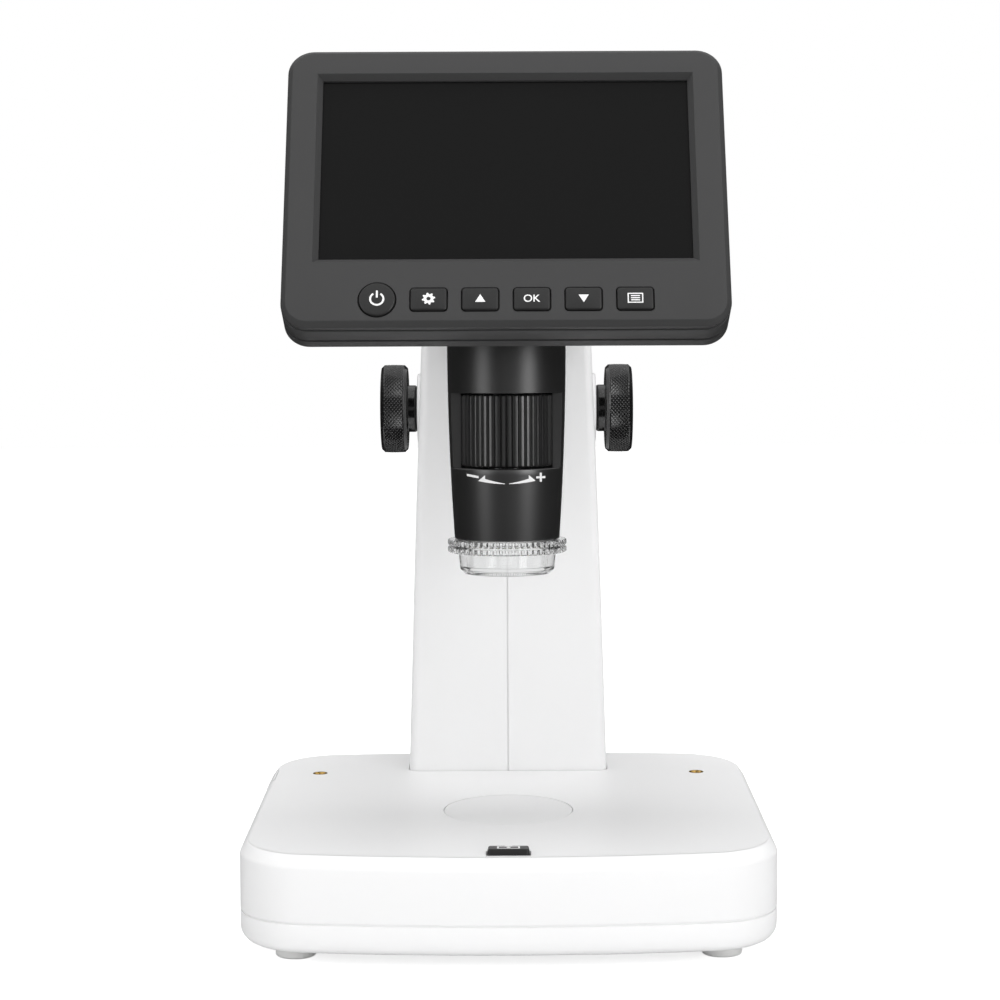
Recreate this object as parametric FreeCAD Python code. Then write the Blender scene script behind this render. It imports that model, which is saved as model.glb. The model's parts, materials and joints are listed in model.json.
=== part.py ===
import FreeCAD, Part
import math
import os

from FreeCAD import Placement, Rotation, Vector

# A free-standing inspection microscope with its own display, in millimetres.
# +X is to the right, +Y to the back, +Z up. The origin lies at foot level under the centre of the base.

# Base
base_width = 148.0
base_depth = 137.0
base_front_bow = 7.0
base_back_bow = 4.0
base_corner_radius = 21.0
base_wall = 2.5
base_lower_rounding = 4.5
foot_height = 4.0
foot_radius = 5.6
foot_edge_radius = 0.6
foot_side_distance = 15.5
foot_front_distance = 21.1
foot_back_distance = 18.5
foot_spread_x = base_width - 2 * foot_side_distance
front_foot_y = -base_depth / 2 + foot_front_distance
back_foot_y = base_depth / 2 - foot_back_distance
parting_height = 13.0
parting_groove = 0.5
stage_height = 33.0
top_slope = 2.1
rim_bevel_width = 2.2
rim_bevel_height = 3.1
base_screw_side_distance = 30.0
base_screw_front_distance = 26.5
base_screw_back_distance = 20.5
base_screw_grip = 9.0
base_post_radius = 3.6
board_post_radius = 3.0

# Optical axis and stage
optical_axis_y = -12.1
stage_radius = 18.5
stage_gap = 0.2
stage_lip_width = 2.5
stage_lip_height = 1.2
stage_board_size = 24.0
stage_board_drop = 8.0

# Clip sockets in the top of the base
clip_socket_side_distance = 15.8
clip_socket_back_distance = 31.5
clip_socket_spread_x = base_width - 2 * clip_socket_side_distance
clip_socket_y = base_depth / 2 - clip_socket_back_distance
clip_socket_radius = 2.3
clip_thread_radius = 1.5
clip_socket_length = 6.0
clip_boss_wall = 1.7
clip_boss_floor = 1.0

# Shutter button at the front of the base
shutter_front_distance = 6.6
shutter_button_y = -base_depth / 2 + shutter_front_distance
shutter_width = 11.6
shutter_depth = 4.8
shutter_proud = 1.6
shutter_draft = 0.5
shutter_flange = 0.7
shutter_flange_thickness = 1.0
shutter_flange_gap = 0.2
shutter_switch_height = 2.0
shutter_switch_width = 5.0
shutter_plunger_radius = 1.2
shutter_board_depth = 12.0
shutter_board_margin = 0.5

# Port cover on the left side of the base
port_cover_back_distance = 34.1
port_cover_y = base_depth / 2 - port_cover_back_distance
port_cover_length = 12.8
port_cover_bottom = 22.0
port_cover_depth = 2.7
port_cover_pin_radius = 0.5
port_cover_pin_inset = 1.0
port_cover_pin_rise = 1.6
port_width = 9.0
port_height = 3.4
port_length = 8.0
port_wall = 0.6
port_tongue_thickness = 0.7
port_middle_height = 28.0
port_cover_gap = 0.15
port_cover_bottom_gap = 0.8
port_cover_tab_height = 3.4
port_cover_tab_thickness = 1.9
pin_overhang = 1.5
port_pad_depth = 3.0

# Arm
arm_depth = 25.6
arm_back_distance = 3.5
arm_back = base_depth / 2 - arm_back_distance
arm_front = arm_back - arm_depth
arm_root_half_width = 30.7
arm_middle_half_width = 28.5
arm_top_half_width = 24.2
arm_root_height = 35.0
arm_middle_height = 104.0
arm_top = 214.0
arm_wall = 2.5
arm_edge_radius = 2.8
arm_shoulder_radius = 9.0
arm_seam_width = 0.35
arm_seam_depth = 0.4
arm_screw_side_distance = 10.7
arm_screw_front_distance = 6.6
arm_screw_back_distance = 5.0
arm_tie_heights = [60.0, 112.0, 180.0]
arm_tie_back_distance = 6.0
arm_tie_front_distance = 6.5
arm_tie_radius = 3.4
arm_tie_length = 14.0

# Focus drive
knob_height = 147.0
knob_setback = 14.5
knob_axis_y = arm_front + knob_setback
knob_radius = 13.75
knob_thickness = 8.1
knob_chamfer = 0.9
knob_outer_face = 39.0
knob_cap_thickness = 2.0
hub_radius = 7.3
hub_chamfer = 0.8
hub_gap = 0.2
shaft_radius = 3.0
boss_radius = 11.0
boss_face = 27.75
boss_bevel = 0.5
bushing_radius = 4.5
gear_module = 1.0
pinion_teeth = 12
gear_width = 8.0
gear_backlash = 0.25
rack_addendum = 0.65
rack_dedendum = 1.2
pinion_dedendum = 0.9
rack_back_thickness = 2.2
head_travel_down = 38.0
head_travel_up = 6.0

# Slide inside the arm
rod_radius = 2.5
rod_spacing = 32.0
rod_bracket_height = 6.0
lower_bracket_bottom = 88.0
carriage_half_width = 21.5
carriage_bottom = 158.0
carriage_top = 196.0
carriage_gap = 0.4
rod_clearance = 2.1
rod_back_wall = 1.5
stop_gap = 1.5
bracket_back_wall = 3.0

# Barrel, with radii at its shoulder, middle and nose
barrel_top = 194.0
barrel_shoulder_height = 176.0
barrel_middle_height = 140.0
barrel_bottom = 111.8
barrel_shoulder_radius = 16.9
barrel_middle_radius = 16.42
barrel_nose_radius = 15.0
barrel_wall = 2.0
barrel_bore_radius = 13.0
neck_half_width = 14.0
neck_bottom = 160.0
upper_shelf_thickness = 4.7
lower_shelf_thickness = 4.4
window_bottom = 132.2
window_top = 153.5
window_depth = 5.5
wheel_radius = 13.9
wheel_rib_count = 48
wheel_rib_depth = 0.6
wheel_pocket_gap = 0.2
wheel_end_gap = 0.25
barrel_screw_back = 9.5
barrel_screw_length = 16.0
upper_screw_x = 11.0
lower_screw_x = 10.5
optical_tube_radius = 7.0
optical_tube_bore = 5.2
optical_tube_bottom = 118.0
optical_tube_top = 172.0
lens_cell_bottom = 136.0
lens_cell_length = 12.0
lens_radius = 4.2
lens_thickness = 3.0
lens_seat = 0.5
sensor_board_half = 9.5
light_ring_radius = 9.4
light_count = 8
light_size = 2.6
light_height = 1.4

# Clear cap under the barrel
cap_ring_radius = 17.0
cap_ring_bottom = 108.0
cap_ring_teeth = 60
cap_tooth_depth = 0.7
cap_cup_radius = 14.0
cap_cup_lower_radius = 13.5
cap_rim_radius = 12.3
cap_bottom = 101.8
cap_wall = 1.2
cap_spigot_height = 2.2

# Display: its face is set back from upright, and the datum is the lower edge of the flat face
display_lean = 25.5
display_datum_y = -64.3
display_datum_z = 173.6
display_width = 119.4
display_face_height = 81.7
display_bevel = 1.4
display_thickness = 15.0
display_corner_radius = 7.2
display_wall = 2.2
bezel_depth = 3.7
frame_depth = 9.9
back_chamfer = 2.0
groove_width = 0.9
groove_inset = 0.6
bezel_plate = 2.2
display_side_border = 9.7
display_top_border = 7.9
window_margin = 18.8
window_width = display_width - 2 * display_side_border
window_height = display_face_height - window_margin - display_top_border
recess_width = 1.5
recess_depth = 1.5
glass_thickness = 0.8
glass_border = 1.0
panel_thickness = 2.6
panel_border_x = 2.7
panel_border_y = 4.0
key_pitch = 13.64
key_row = 6.1
key_width = 9.6
key_height = 6.5
key_corner = 0.9
power_key_radius = 4.85
key_gap = 0.25
key_proud = 0.45
key_flange = 0.6
key_flange_thickness = 0.9
key_flange_gap = 0.1
key_edge_radius = 0.35
key_wall_gap = 0.15
key_travel = 0.5
switch_height = 1.0
switch_width = 4.0
board_thickness = 1.2
key_board_margin = 5.05
key_board_below = 4.9
key_board_above = 6.1
display_boss_side_distance = 4.6
display_boss_low = 11.0
display_boss_top_distance = 10.7
display_boss_radius = 2.3
bezel_boss_depth = 5.0
board_boss_radius = 1.1
board_boss_distance = 2.0
card_low = 44.0
card_width = 12.0
card_gap = 1.2
card_drop = 0.4
card_wall = 0.5
card_socket_depth = 13.0
panel_gap = 0.3
large_chip_size = 14.0
small_chip_size = 10.0
chip_height = 1.2
battery_left = -12.0
battery_low = 20.0
battery_width = 46.0
battery_length = 34.0
battery_thickness = 4.2

# Tilt hinge behind the display
hinge_row = 48.0
hinge_offset = 8.0
hinge_radius = 4.5
hinge_pin_radius = 1.5
hinge_knuckle_half = 8.0
hinge_ear_thickness = 5.0
hinge_web_half = 3.0
hinge_foot_thickness = 2.0
hinge_screw_half_spread = 5.0
hinge_screw_setback = 6.0
hinge_screw_length = 5.5

# Fits and fasteners
running_gap = 0.05
side_gap = 0.3
slip_gap = 0.6
screw_radius = 1.25
screw_head_radius = 2.4
screw_head_height = 1.6
small_screw_radius = 1.0
small_head_radius = 1.8
small_head_height = 1.2
head_pocket_gap = 0.4

x_axis = Vector(1, 0, 0)
y_axis = Vector(0, 1, 0)
z_axis = Vector(0, 0, 1)

base_floor = foot_height + base_wall
display_turn = Placement(
    Vector(0, display_datum_y, display_datum_z),
    Rotation(x_axis, 90 - display_lean),
)


# Basic solids

def block(x_low, x_high, y_low, y_high, z_low, z_high):
    corner = Vector(x_low, y_low, z_low)
    return Part.makeBox(x_high - x_low, y_high - y_low, z_high - z_low, corner)


def rod(radius, start, direction, length):
    return Part.makeCylinder(radius, length, start, direction)


def tube(outer_radius, inner_radius, start, direction, length):
    return rod(outer_radius, start, direction, length).cut(rod(inner_radius, start, direction, length))


def edges_along(shape, direction):
    found = []
    for edge in shape.Edges:
        if len(edge.Vertexes) == 2 and isinstance(edge.Curve, Part.Line):
            span = edge.Vertexes[1].Point - edge.Vertexes[0].Point
            if span.cross(direction).Length < 1e-6:
                found.append(edge)
    return found


def edges_at_level(shape, level):
    """Edges that lie wholly in the plane z = level."""
    found = []
    for edge in shape.Edges:
        heights = edge.BoundBox
        if abs(heights.ZMin - level) < 1e-4 and abs(heights.ZMax - level) < 1e-4:
            found.append(edge)
    return found


def rounded_slab(half_width, y_low, y_high, z_low, z_high, radius):
    slab = block(-half_width, half_width, y_low, y_high, z_low, z_high)
    return slab.makeFillet(radius, edges_along(slab, z_axis))


def lathe(points, y):
    """Solid of revolution about the vertical line x = 0 at the given y, from (radius, height) points."""
    outline = [Vector(radius, 0, height) for radius, height in points]
    outline.append(outline[0])
    turned = Part.Face(Part.makePolygon(outline)).revolve(Vector(0, 0, 0), z_axis, 360)
    turned.translate(Vector(0, y, 0))
    return turned


def spindle(points, y, z):
    """Solid of revolution about the crosswise line through (y, z), from (x, radius) points."""
    outline = [Vector(x, radius, 0) for x, radius in points]
    outline.append(outline[0])
    turned = Part.Face(Part.makePolygon(outline)).revolve(Vector(0, 0, 0), x_axis, 360)
    turned.translate(Vector(0, y, z))
    return turned


def mirrored(shape):
    return shape.mirror(Vector(0, 0, 0), x_axis)


def toothed_disc(outer_radius, tooth_depth, teeth, z_low, z_high, y):
    """Disc with straight-sided teeth round its rim."""
    root = outer_radius - tooth_depth
    points = []
    for index in range(teeth):
        start = 2 * math.pi * index / teeth
        for share, radius in ((0.0, root), (0.3, outer_radius), (0.6, outer_radius), (0.9, root)):
            turn = start + share * 2 * math.pi / teeth
            points.append(Vector(radius * math.cos(turn), radius * math.sin(turn), z_low))
    points.append(points[0])
    disc = Part.Face(Part.makePolygon(points)).extrude(Vector(0, 0, z_high - z_low))
    disc.translate(Vector(0, y, 0))
    return disc


# Base

def bowed_corner_y(bow, inset):
    """Distance from the base's middle to the corner of a bowed end, with the outline set in by inset."""
    half = base_width / 2
    bow_radius = (half ** 2 + bow ** 2) / (2 * bow)
    bow_centre = base_depth / 2 - bow_radius
    return bow_centre + math.sqrt((bow_radius - inset) ** 2 - (half - inset) ** 2)


def base_prism(inset, z_low, z_high):
    half = base_width / 2 - inset
    reach = base_depth / 2 - inset
    front = -bowed_corner_y(base_front_bow, inset)
    back = bowed_corner_y(base_back_bow, inset)
    front_left = Vector(-half, front, z_low)
    front_right = Vector(half, front, z_low)
    back_right = Vector(half, back, z_low)
    back_left = Vector(-half, back, z_low)
    edges = [
        Part.Arc(front_left, Vector(0, -reach, z_low), front_right).toShape(),
        Part.LineSegment(front_right, back_right).toShape(),
        Part.Arc(back_right, Vector(0, reach, z_low), back_left).toShape(),
        Part.LineSegment(back_left, front_left).toShape(),
    ]
    prism = Part.Face(Part.Wire(edges)).extrude(Vector(0, 0, z_high - z_low))
    return prism.makeFillet(base_corner_radius - inset, edges_along(prism, z_axis))


def top_height(y):
    """Height of the sloping top of the base."""
    return stage_height + (y - optical_axis_y) * math.tan(math.radians(top_slope))


def on_top(x, y):
    """Placement with its +Z square to the sloping top and its origin on it."""
    return Placement(Vector(x, y, top_height(y)), Rotation(x_axis, top_slope))


def above_top(drop):
    reach = base_depth
    ceiling = stage_height + 60
    points = [
        Vector(-reach, -reach, top_height(-reach) - drop),
        Vector(-reach, reach, top_height(reach) - drop),
        Vector(-reach, reach, ceiling),
        Vector(-reach, -reach, ceiling),
    ]
    points.append(points[0])
    return Part.Face(Part.makePolygon(points)).extrude(Vector(2 * reach, 0, 0))


def base_top_form():
    form = base_prism(0, parting_height, stage_height + 20).cut(above_top(0))
    rim = []
    for edge in form.Edges:
        middle = edge.valueAt((edge.FirstParameter + edge.LastParameter) / 2)
        if abs(middle.z - top_height(middle.y)) < 1e-3:
            rim.append(edge)
    return form.makeChamfer(rim_bevel_height, rim_bevel_width, rim)


def set_on_top(shape, x, y):
    shape.Placement = on_top(x, y).multiply(shape.Placement)
    return shape


def arm_opening():
    return rounded_slab(
        arm_root_half_width + side_gap,
        arm_front - side_gap,
        arm_back + side_gap,
        parting_height - 1,
        stage_height + 20,
        arm_edge_radius + side_gap,
    )


screw_spots = [
    (x, y)
    for y in (-base_depth / 2 + base_screw_front_distance, base_depth / 2 - base_screw_back_distance)
    for x in (-base_width / 2 + base_screw_side_distance, base_width / 2 - base_screw_side_distance)
]
recess_low_y = port_cover_y - port_cover_length / 2
recess_high_y = port_cover_y + port_cover_length / 2
recess_back_x = -base_width / 2 + port_cover_depth


def port_recess(gap, bottom_gap):
    return block(
        -base_width / 2 - 1,
        recess_back_x - gap,
        recess_low_y + gap,
        recess_high_y - gap,
        port_cover_bottom + bottom_gap,
        stage_height + 20,
    )


def port_pin(radius, overhang):
    start = Vector(
        -base_width / 2 + port_cover_pin_inset,
        recess_low_y - overhang,
        port_cover_bottom + port_cover_pin_rise,
    )
    return rod(radius, start, y_axis, port_cover_length + 2 * overhang)


def port_block(grow, length):
    return block(
        recess_back_x,
        recess_back_x + length,
        port_cover_y - port_width / 2 - grow,
        port_cover_y + port_width / 2 + grow,
        port_middle_height - port_height / 2 - grow,
        port_middle_height + port_height / 2 + grow,
    )


def base_top_shell(form):
    cavity = base_prism(base_wall, parting_height - 1, stage_height + 20).cut(above_top(base_wall))
    shell = form.cut(cavity)
    inner_form = base_prism(0.4 * base_wall, parting_height, stage_height + 20).cut(above_top(1))
    pad = block(
        -base_width / 2 + 1,
        recess_back_x + port_pad_depth,
        recess_low_y - port_pad_depth,
        recess_high_y + port_pad_depth,
        port_cover_bottom - port_pad_depth,
        stage_height + 20,
    )
    additions = [pad.common(inner_form)]
    for x, y in screw_spots:
        post = rod(base_post_radius, Vector(x, y, parting_height), z_axis, stage_height)
        additions.append(post.common(inner_form))
    for side in (-1, 1):
        boss_length = clip_socket_length + clip_boss_floor
        boss = rod(clip_socket_radius + clip_boss_wall, Vector(0, 0, -boss_length), z_axis, boss_length - 1)
        additions.append(set_on_top(boss, side * clip_socket_spread_x / 2, clip_socket_y))
    shell = shell.fuse(additions)
    cuts = [arm_opening(), port_recess(0, 0), port_pin(port_cover_pin_radius, pin_overhang)]
    cuts.append(port_block(0, port_pad_depth + 1))
    cuts.append(set_on_top(rod(stage_radius + stage_gap, Vector(0, 0, -10), z_axis, 20), 0, optical_axis_y))
    cuts.append(shutter_opening())
    for side in (-1, 1):
        socket = rod(clip_socket_radius, Vector(0, 0, -clip_socket_length), z_axis, clip_socket_length + 5)
        cuts.append(set_on_top(socket, side * clip_socket_spread_x / 2, clip_socket_y))
    for x, y in screw_spots:
        cuts.append(rod(screw_radius, Vector(x, y, parting_height - 1), z_axis, base_screw_grip + 1))
    return shell.cut(cuts).removeSplitter()


def base_bottom_cover():
    cover = base_prism(0, foot_height, parting_height)
    cover = cover.makeFillet(base_lower_rounding, edges_at_level(cover, foot_height))
    groove_low = parting_height - parting_groove
    groove = base_prism(0, groove_low, parting_height)
    groove = groove.cut(base_prism(parting_groove, groove_low, parting_height))
    cavity = base_prism(base_wall, base_floor, parting_height + 1)
    cover = cover.cut(cavity).cut(groove)
    posts = []
    for x, y in screw_spots:
        start = Vector(x, y, foot_height + 1)
        posts.append(rod(base_post_radius, start, z_axis, parting_height - start.z))
    for x in (-stage_board_size / 3, stage_board_size / 3):
        start = Vector(x, optical_axis_y, base_floor - 1)
        posts.append(rod(board_post_radius, start, z_axis, stage_board_bottom() - base_floor + 1))
    start = Vector(0, shutter_button_y, base_floor - 1)
    posts.append(rod(board_post_radius, start, z_axis, shutter_board_bottom() - base_floor + 1))
    cover = cover.fuse(posts)
    cuts = []
    for x, y in screw_spots:
        cuts.append(rod(screw_radius, Vector(x, y, 0), z_axis, parting_height + 1))
        cuts.append(rod(screw_head_radius, Vector(x, y, 0), z_axis,
                        foot_height + head_pocket_gap + screw_head_height))
    for x, y in arm_screw_spots:
        cuts.append(rod(screw_radius, Vector(x, y, 0), z_axis, base_floor + 1))
    return cover.cut(cuts).removeSplitter()


def screw(radius, head_radius, head_height, start, direction, length):
    """Pan-head screw: the head starts at start and the shank runs on along direction."""
    shank_start = start + Vector(direction).multiply(head_height)
    head = rod(head_radius, start, direction, head_height)
    return head.fuse(rod(radius, shank_start, direction, length))


def base_screws():
    screws = []
    for x, y in screw_spots:
        start = Vector(x, y, foot_height + head_pocket_gap)
        length = parting_height - start.z - screw_head_height + base_screw_grip - 1
        screws.append(screw(screw_radius, screw_head_radius, screw_head_height, start, z_axis, length))
    return Part.makeCompound(screws)


def rubber_feet():
    feet = []
    for x in (-foot_spread_x / 2, foot_spread_x / 2):
        for y in (front_foot_y, back_foot_y):
            foot = rod(foot_radius, Vector(x, y, 0), z_axis, foot_height)
            feet.append(foot.makeFillet(foot_edge_radius, edges_at_level(foot, 0)))
    return Part.makeCompound(feet)


def stage_disc():
    disc = rod(stage_radius, Vector(0, 0, -base_wall), z_axis, base_wall)
    disc = disc.makeChamfer(0.15, edges_at_level(disc, 0))
    lip_start = Vector(0, 0, -base_wall - stage_lip_height)
    disc = disc.fuse(rod(stage_radius + stage_lip_width, lip_start, z_axis, stage_lip_height))
    return set_on_top(disc, 0, optical_axis_y)


def stage_board_bottom():
    return stage_height - base_wall - stage_lip_height - stage_board_drop


def stage_light_board():
    half = stage_board_size / 2
    bottom = stage_board_bottom()
    board = block(-half, half, optical_axis_y - half, optical_axis_y + half, bottom, bottom + board_thickness)
    light = light_size
    top = bottom + board_thickness
    lamp = block(-light, light, optical_axis_y - light, optical_axis_y + light, top, top + light_height)
    return board.fuse(lamp)


def brass_inserts():
    inserts = []
    for side in (-1, 1):
        insert = tube(clip_socket_radius, clip_thread_radius, Vector(0, 0, -clip_socket_length), z_axis,
                      clip_socket_length)
        inserts.append(set_on_top(insert, side * clip_socket_spread_x / 2, clip_socket_y))
    return Part.makeCompound(inserts)


# Shutter button

shutter_flange_top = -base_wall + 0.8


def shutter_opening():
    half_x = shutter_width / 2 + key_gap
    half_y = shutter_depth / 2 + key_gap
    opening = block(-half_x, half_x, -half_y, half_y, -base_wall - 1, 5)
    flange_room = block(
        -half_x - shutter_flange, half_x + shutter_flange,
        -half_y - shutter_flange, half_y + shutter_flange,
        -base_wall - 3, shutter_flange_top + 0.1,
    )
    return set_on_top(opening.fuse(flange_room), 0, shutter_button_y)


def shutter_button():
    half_x = shutter_width / 2
    half_y = shutter_depth / 2
    stem = block(-half_x, half_x, -half_y, half_y, -base_wall, 0)
    lower = Part.makePolygon([
        Vector(-half_x, -half_y, 0), Vector(half_x, -half_y, 0),
        Vector(half_x, half_y, 0), Vector(-half_x, half_y, 0), Vector(-half_x, -half_y, 0),
    ])
    top_x = half_x - shutter_draft
    top_y = half_y - shutter_draft
    upper = Part.makePolygon([
        Vector(-top_x, -top_y, shutter_proud), Vector(top_x, -top_y, shutter_proud),
        Vector(top_x, top_y, shutter_proud), Vector(-top_x, top_y, shutter_proud),
        Vector(-top_x, -top_y, shutter_proud),
    ])
    head = Part.makeLoft([lower, upper], True, True)
    flange = block(
        -half_x - shutter_flange, half_x + shutter_flange,
        -half_y - shutter_flange, half_y + shutter_flange,
        shutter_flange_top - shutter_flange_thickness, shutter_flange_top,
    )
    button = stem.fuse([head, flange]).removeSplitter()
    return set_on_top(button, 0, shutter_button_y)


def shutter_switch_top():
    return top_height(shutter_button_y) - base_wall - shutter_flange_gap - key_travel - side_gap


def shutter_board_bottom():
    return shutter_switch_top() - shutter_switch_height - board_thickness


def shutter_board():
    bottom = shutter_board_bottom()
    y_low = shutter_button_y - shutter_depth / 2 - shutter_board_margin
    top = bottom + board_thickness
    board = block(-shutter_width, shutter_width, y_low, y_low + shutter_board_depth, bottom, top)
    half = shutter_switch_width / 2
    case = block(-half, half, shutter_button_y - half, shutter_button_y + half, top,
                 top + 0.7 * shutter_switch_height)
    plunger_start = Vector(0, shutter_button_y, top)
    plunger = rod(shutter_plunger_radius, plunger_start, z_axis, shutter_switch_height)
    return board.fuse([case, plunger])


# Port cover and socket

def port_cover(form):
    cover = form.common(port_recess(port_cover_gap, port_cover_bottom_gap))
    thin_back = block(
        -base_width / 2 + port_cover_tab_thickness, recess_back_x + 1,
        recess_low_y - 1, recess_high_y + 1,
        port_cover_bottom, port_cover_bottom + port_cover_tab_height,
    )
    return cover.cut([thin_back, port_pin(port_cover_pin_radius + running_gap, pin_overhang)])


def power_socket():
    body = port_block(0, port_length)
    mouth = block(
        recess_back_x - 1, recess_back_x + port_length - 1.5,
        port_cover_y - port_width / 2 + port_wall, port_cover_y + port_width / 2 - port_wall,
        port_middle_height - port_height / 2 + port_wall, port_middle_height + port_height / 2 - port_wall,
    )
    tongue = block(
        recess_back_x + 0.8, recess_back_x + port_length - 1,
        port_cover_y - port_width / 4, port_cover_y + port_width / 4,
        port_middle_height - port_tongue_thickness / 2, port_middle_height + port_tongue_thickness / 2,
    )
    return body.cut(mouth).fuse(tongue)


# Arm

arm_foot_height = base_floor
arm_screw_x = arm_root_half_width - arm_screw_side_distance
arm_screw_spots = [
    (x, y)
    for y in (arm_front + arm_screw_front_distance, arm_back - arm_screw_back_distance)
    for x in (-arm_screw_x, arm_screw_x)
]
arm_tie_y = arm_back - arm_tie_back_distance
arm_tie_spots = [(arm_tie_y, height) for height in arm_tie_heights]
arm_tie_spots.append((arm_front + arm_tie_front_distance, arm_tie_heights[0]))


def arm_form(inset, top, bottom):
    """Solid between the arm's curved sides, set in by inset on every side."""
    root = arm_root_half_width - inset
    middle = arm_middle_half_width - inset
    crown = arm_top_half_width - inset
    front = arm_front + inset
    right_root = Vector(root, front, arm_root_height)
    right_top = Vector(crown, front, top)
    left_root = Vector(-root, front, arm_root_height)
    left_top = Vector(-crown, front, top)
    edges = [
        Part.LineSegment(Vector(-root, front, bottom), Vector(root, front, bottom)).toShape(),
        Part.LineSegment(Vector(root, front, bottom), right_root).toShape(),
        Part.Arc(right_root, Vector(middle, front, arm_middle_height), right_top).toShape(),
        Part.LineSegment(right_top, left_top).toShape(),
        Part.Arc(left_top, Vector(-middle, front, arm_middle_height), left_root).toShape(),
        Part.LineSegment(left_root, Vector(-root, front, bottom)).toShape(),
    ]
    return Part.Face(Part.Wire(edges)).extrude(Vector(0, arm_depth - 2 * inset, 0))


def shoulder_edges(form, top):
    return [edge for edge in edges_along(form, y_axis) if abs(edge.Vertexes[0].Z - top) < 1e-4]


def arm_outside():
    form = arm_form(0, arm_top, arm_foot_height)
    form = form.makeFillet(arm_shoulder_radius, shoulder_edges(form, arm_top))
    rims = []
    for edge in form.Edges:
        box = edge.BoundBox
        flat = abs(box.YMax - box.YMin) < 1e-4
        low = abs(box.ZMax - arm_foot_height) < 1e-4
        if flat and not low:
            rims.append(edge)
    return form.makeFillet(arm_edge_radius, rims)


def arm_cavity():
    top = arm_top - arm_wall
    form = arm_form(arm_wall, top, arm_foot_height + arm_wall)
    return form.makeFillet(arm_shoulder_radius - arm_wall, shoulder_edges(form, top))


def neck_slot():
    half = neck_half_width + slip_gap
    low = neck_bottom - head_travel_down - slip_gap
    high = barrel_top + head_travel_up + slip_gap
    slot = block(-half, half, arm_front - 1, arm_front + arm_wall + 1, low, high)
    return slot.makeFillet(2.0, edges_along(slot, y_axis))


def arm_shells(cavity):
    outside = arm_outside()
    bevel_start = boss_face - boss_bevel
    bosses = spindle([
        (-boss_face, 0), (-boss_face, boss_radius - boss_bevel), (-bevel_start, boss_radius),
        (bevel_start, boss_radius), (boss_face, boss_radius - boss_bevel), (boss_face, 0),
    ], knob_axis_y, knob_height)
    shell = outside.fuse(bosses).cut(cavity)
    ties = []
    tie_holes = []
    for y, height in arm_tie_spots:
        start = Vector(-arm_root_half_width, y, height)
        ties.append(rod(arm_tie_radius, start, x_axis, 2 * arm_root_half_width).common(outside))
        tie_holes.append(rod(screw_radius, start, x_axis, arm_root_half_width + 8))
        tie_holes.append(rod(screw_head_radius + 0.2, start, x_axis, tie_head_depth(height)))
    foot_ties = []
    for x, y in arm_screw_spots:
        foot_ties.append(rod(arm_tie_radius, Vector(x, y, arm_foot_height), z_axis, arm_tie_length))
        tie_holes.append(rod(screw_radius, Vector(x, y, 0), z_axis, arm_foot_height + arm_tie_length - 2))
    shell = shell.fuse(ties + foot_ties)
    half = arm_seam_width / 2
    seam = block(-half, half, arm_front - 1, arm_front + arm_seam_depth, 0, arm_top + 1)
    back_seam = seam.copy()
    back_seam.translate(Vector(0, arm_depth + 1 - arm_seam_depth, 0))
    crown_seam = block(-half, half, arm_front - 1, arm_back + 1, arm_top - arm_seam_depth, arm_top + 1)
    bore_start = Vector(-boss_face - 1, knob_axis_y, knob_height)
    bushing_bore = rod(bushing_radius, bore_start, x_axis, 2 * boss_face + 2)
    shell = shell.cut([seam, back_seam, crown_seam, bushing_bore, neck_slot()] + tie_holes)
    reach = 2 * arm_root_half_width
    left = shell.common(block(-reach, 0, 0, base_depth, 0, arm_top + 1))
    right = shell.common(block(0, reach, 0, base_depth, 0, arm_top + 1))
    return left.removeSplitter(), right.removeSplitter()


def arm_half_width(height):
    """Half-width of the arm where its curved side passes the given height."""
    root = Vector(arm_root_half_width, 0, arm_root_height)
    middle = Vector(arm_middle_half_width, 0, arm_middle_height)
    crown = Vector(arm_top_half_width, 0, arm_top)
    side = Part.Circle(root, middle, crown)
    centre = side.Center
    return centre.x + math.sqrt(side.Radius ** 2 - (height - centre.z) ** 2) * (1 if centre.x < 0 else -1)


def tie_head_depth(height):
    """Depth of a tie screw's head pocket, from the arm's widest plane."""
    return arm_root_half_width - arm_half_width(height) + screw_head_height + 0.8


def arm_screws():
    screws = []
    for y, height in arm_tie_spots:
        head_face = -arm_root_half_width + tie_head_depth(height) - screw_head_height
        start = Vector(head_face, y, height)
        length = -head_face - screw_head_height + 7
        screws.append(screw(screw_radius, screw_head_radius, screw_head_height, start, x_axis, length))
    for x, y in arm_screw_spots:
        start = Vector(x, y, foot_height - screw_head_height)
        length = arm_foot_height + arm_tie_length - 3 - foot_height
        screws.append(screw(screw_radius, screw_head_radius, screw_head_height, start, z_axis, length))
    return Part.makeCompound(screws)


# Slide

pinion_pitch_radius = gear_module * pinion_teeth / 2
pinion_outer_radius = pinion_pitch_radius + gear_module
rack_pitch_y = knob_axis_y - pinion_pitch_radius
rack_tip_y = rack_pitch_y + rack_addendum * gear_module
rack_root_y = rack_pitch_y - rack_dedendum * gear_module
rack_front_y = rack_root_y - rack_back_thickness
tooth_pitch = math.pi * gear_module
rack_low = knob_height - head_travel_up - 2 * tooth_pitch
rack_high = knob_height + head_travel_down + 2 * tooth_pitch
carriage_front = arm_front + arm_wall + carriage_gap
rod_y = arm_front + arm_wall + rod_radius + rod_clearance
carriage_back = rod_y + rod_radius + rod_back_wall
upper_bracket_bottom = carriage_top + head_travel_up + stop_gap


def rods(radius, low, high):
    half = rod_spacing / 2
    start_left = Vector(-half, rod_y, low)
    start_right = Vector(half, rod_y, low)
    return [rod(radius, start_left, z_axis, high - low), rod(radius, start_right, z_axis, high - low)]


def guide_rods():
    return Part.makeCompound(rods(rod_radius, lower_bracket_bottom, upper_bracket_bottom + rod_bracket_height))


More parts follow.
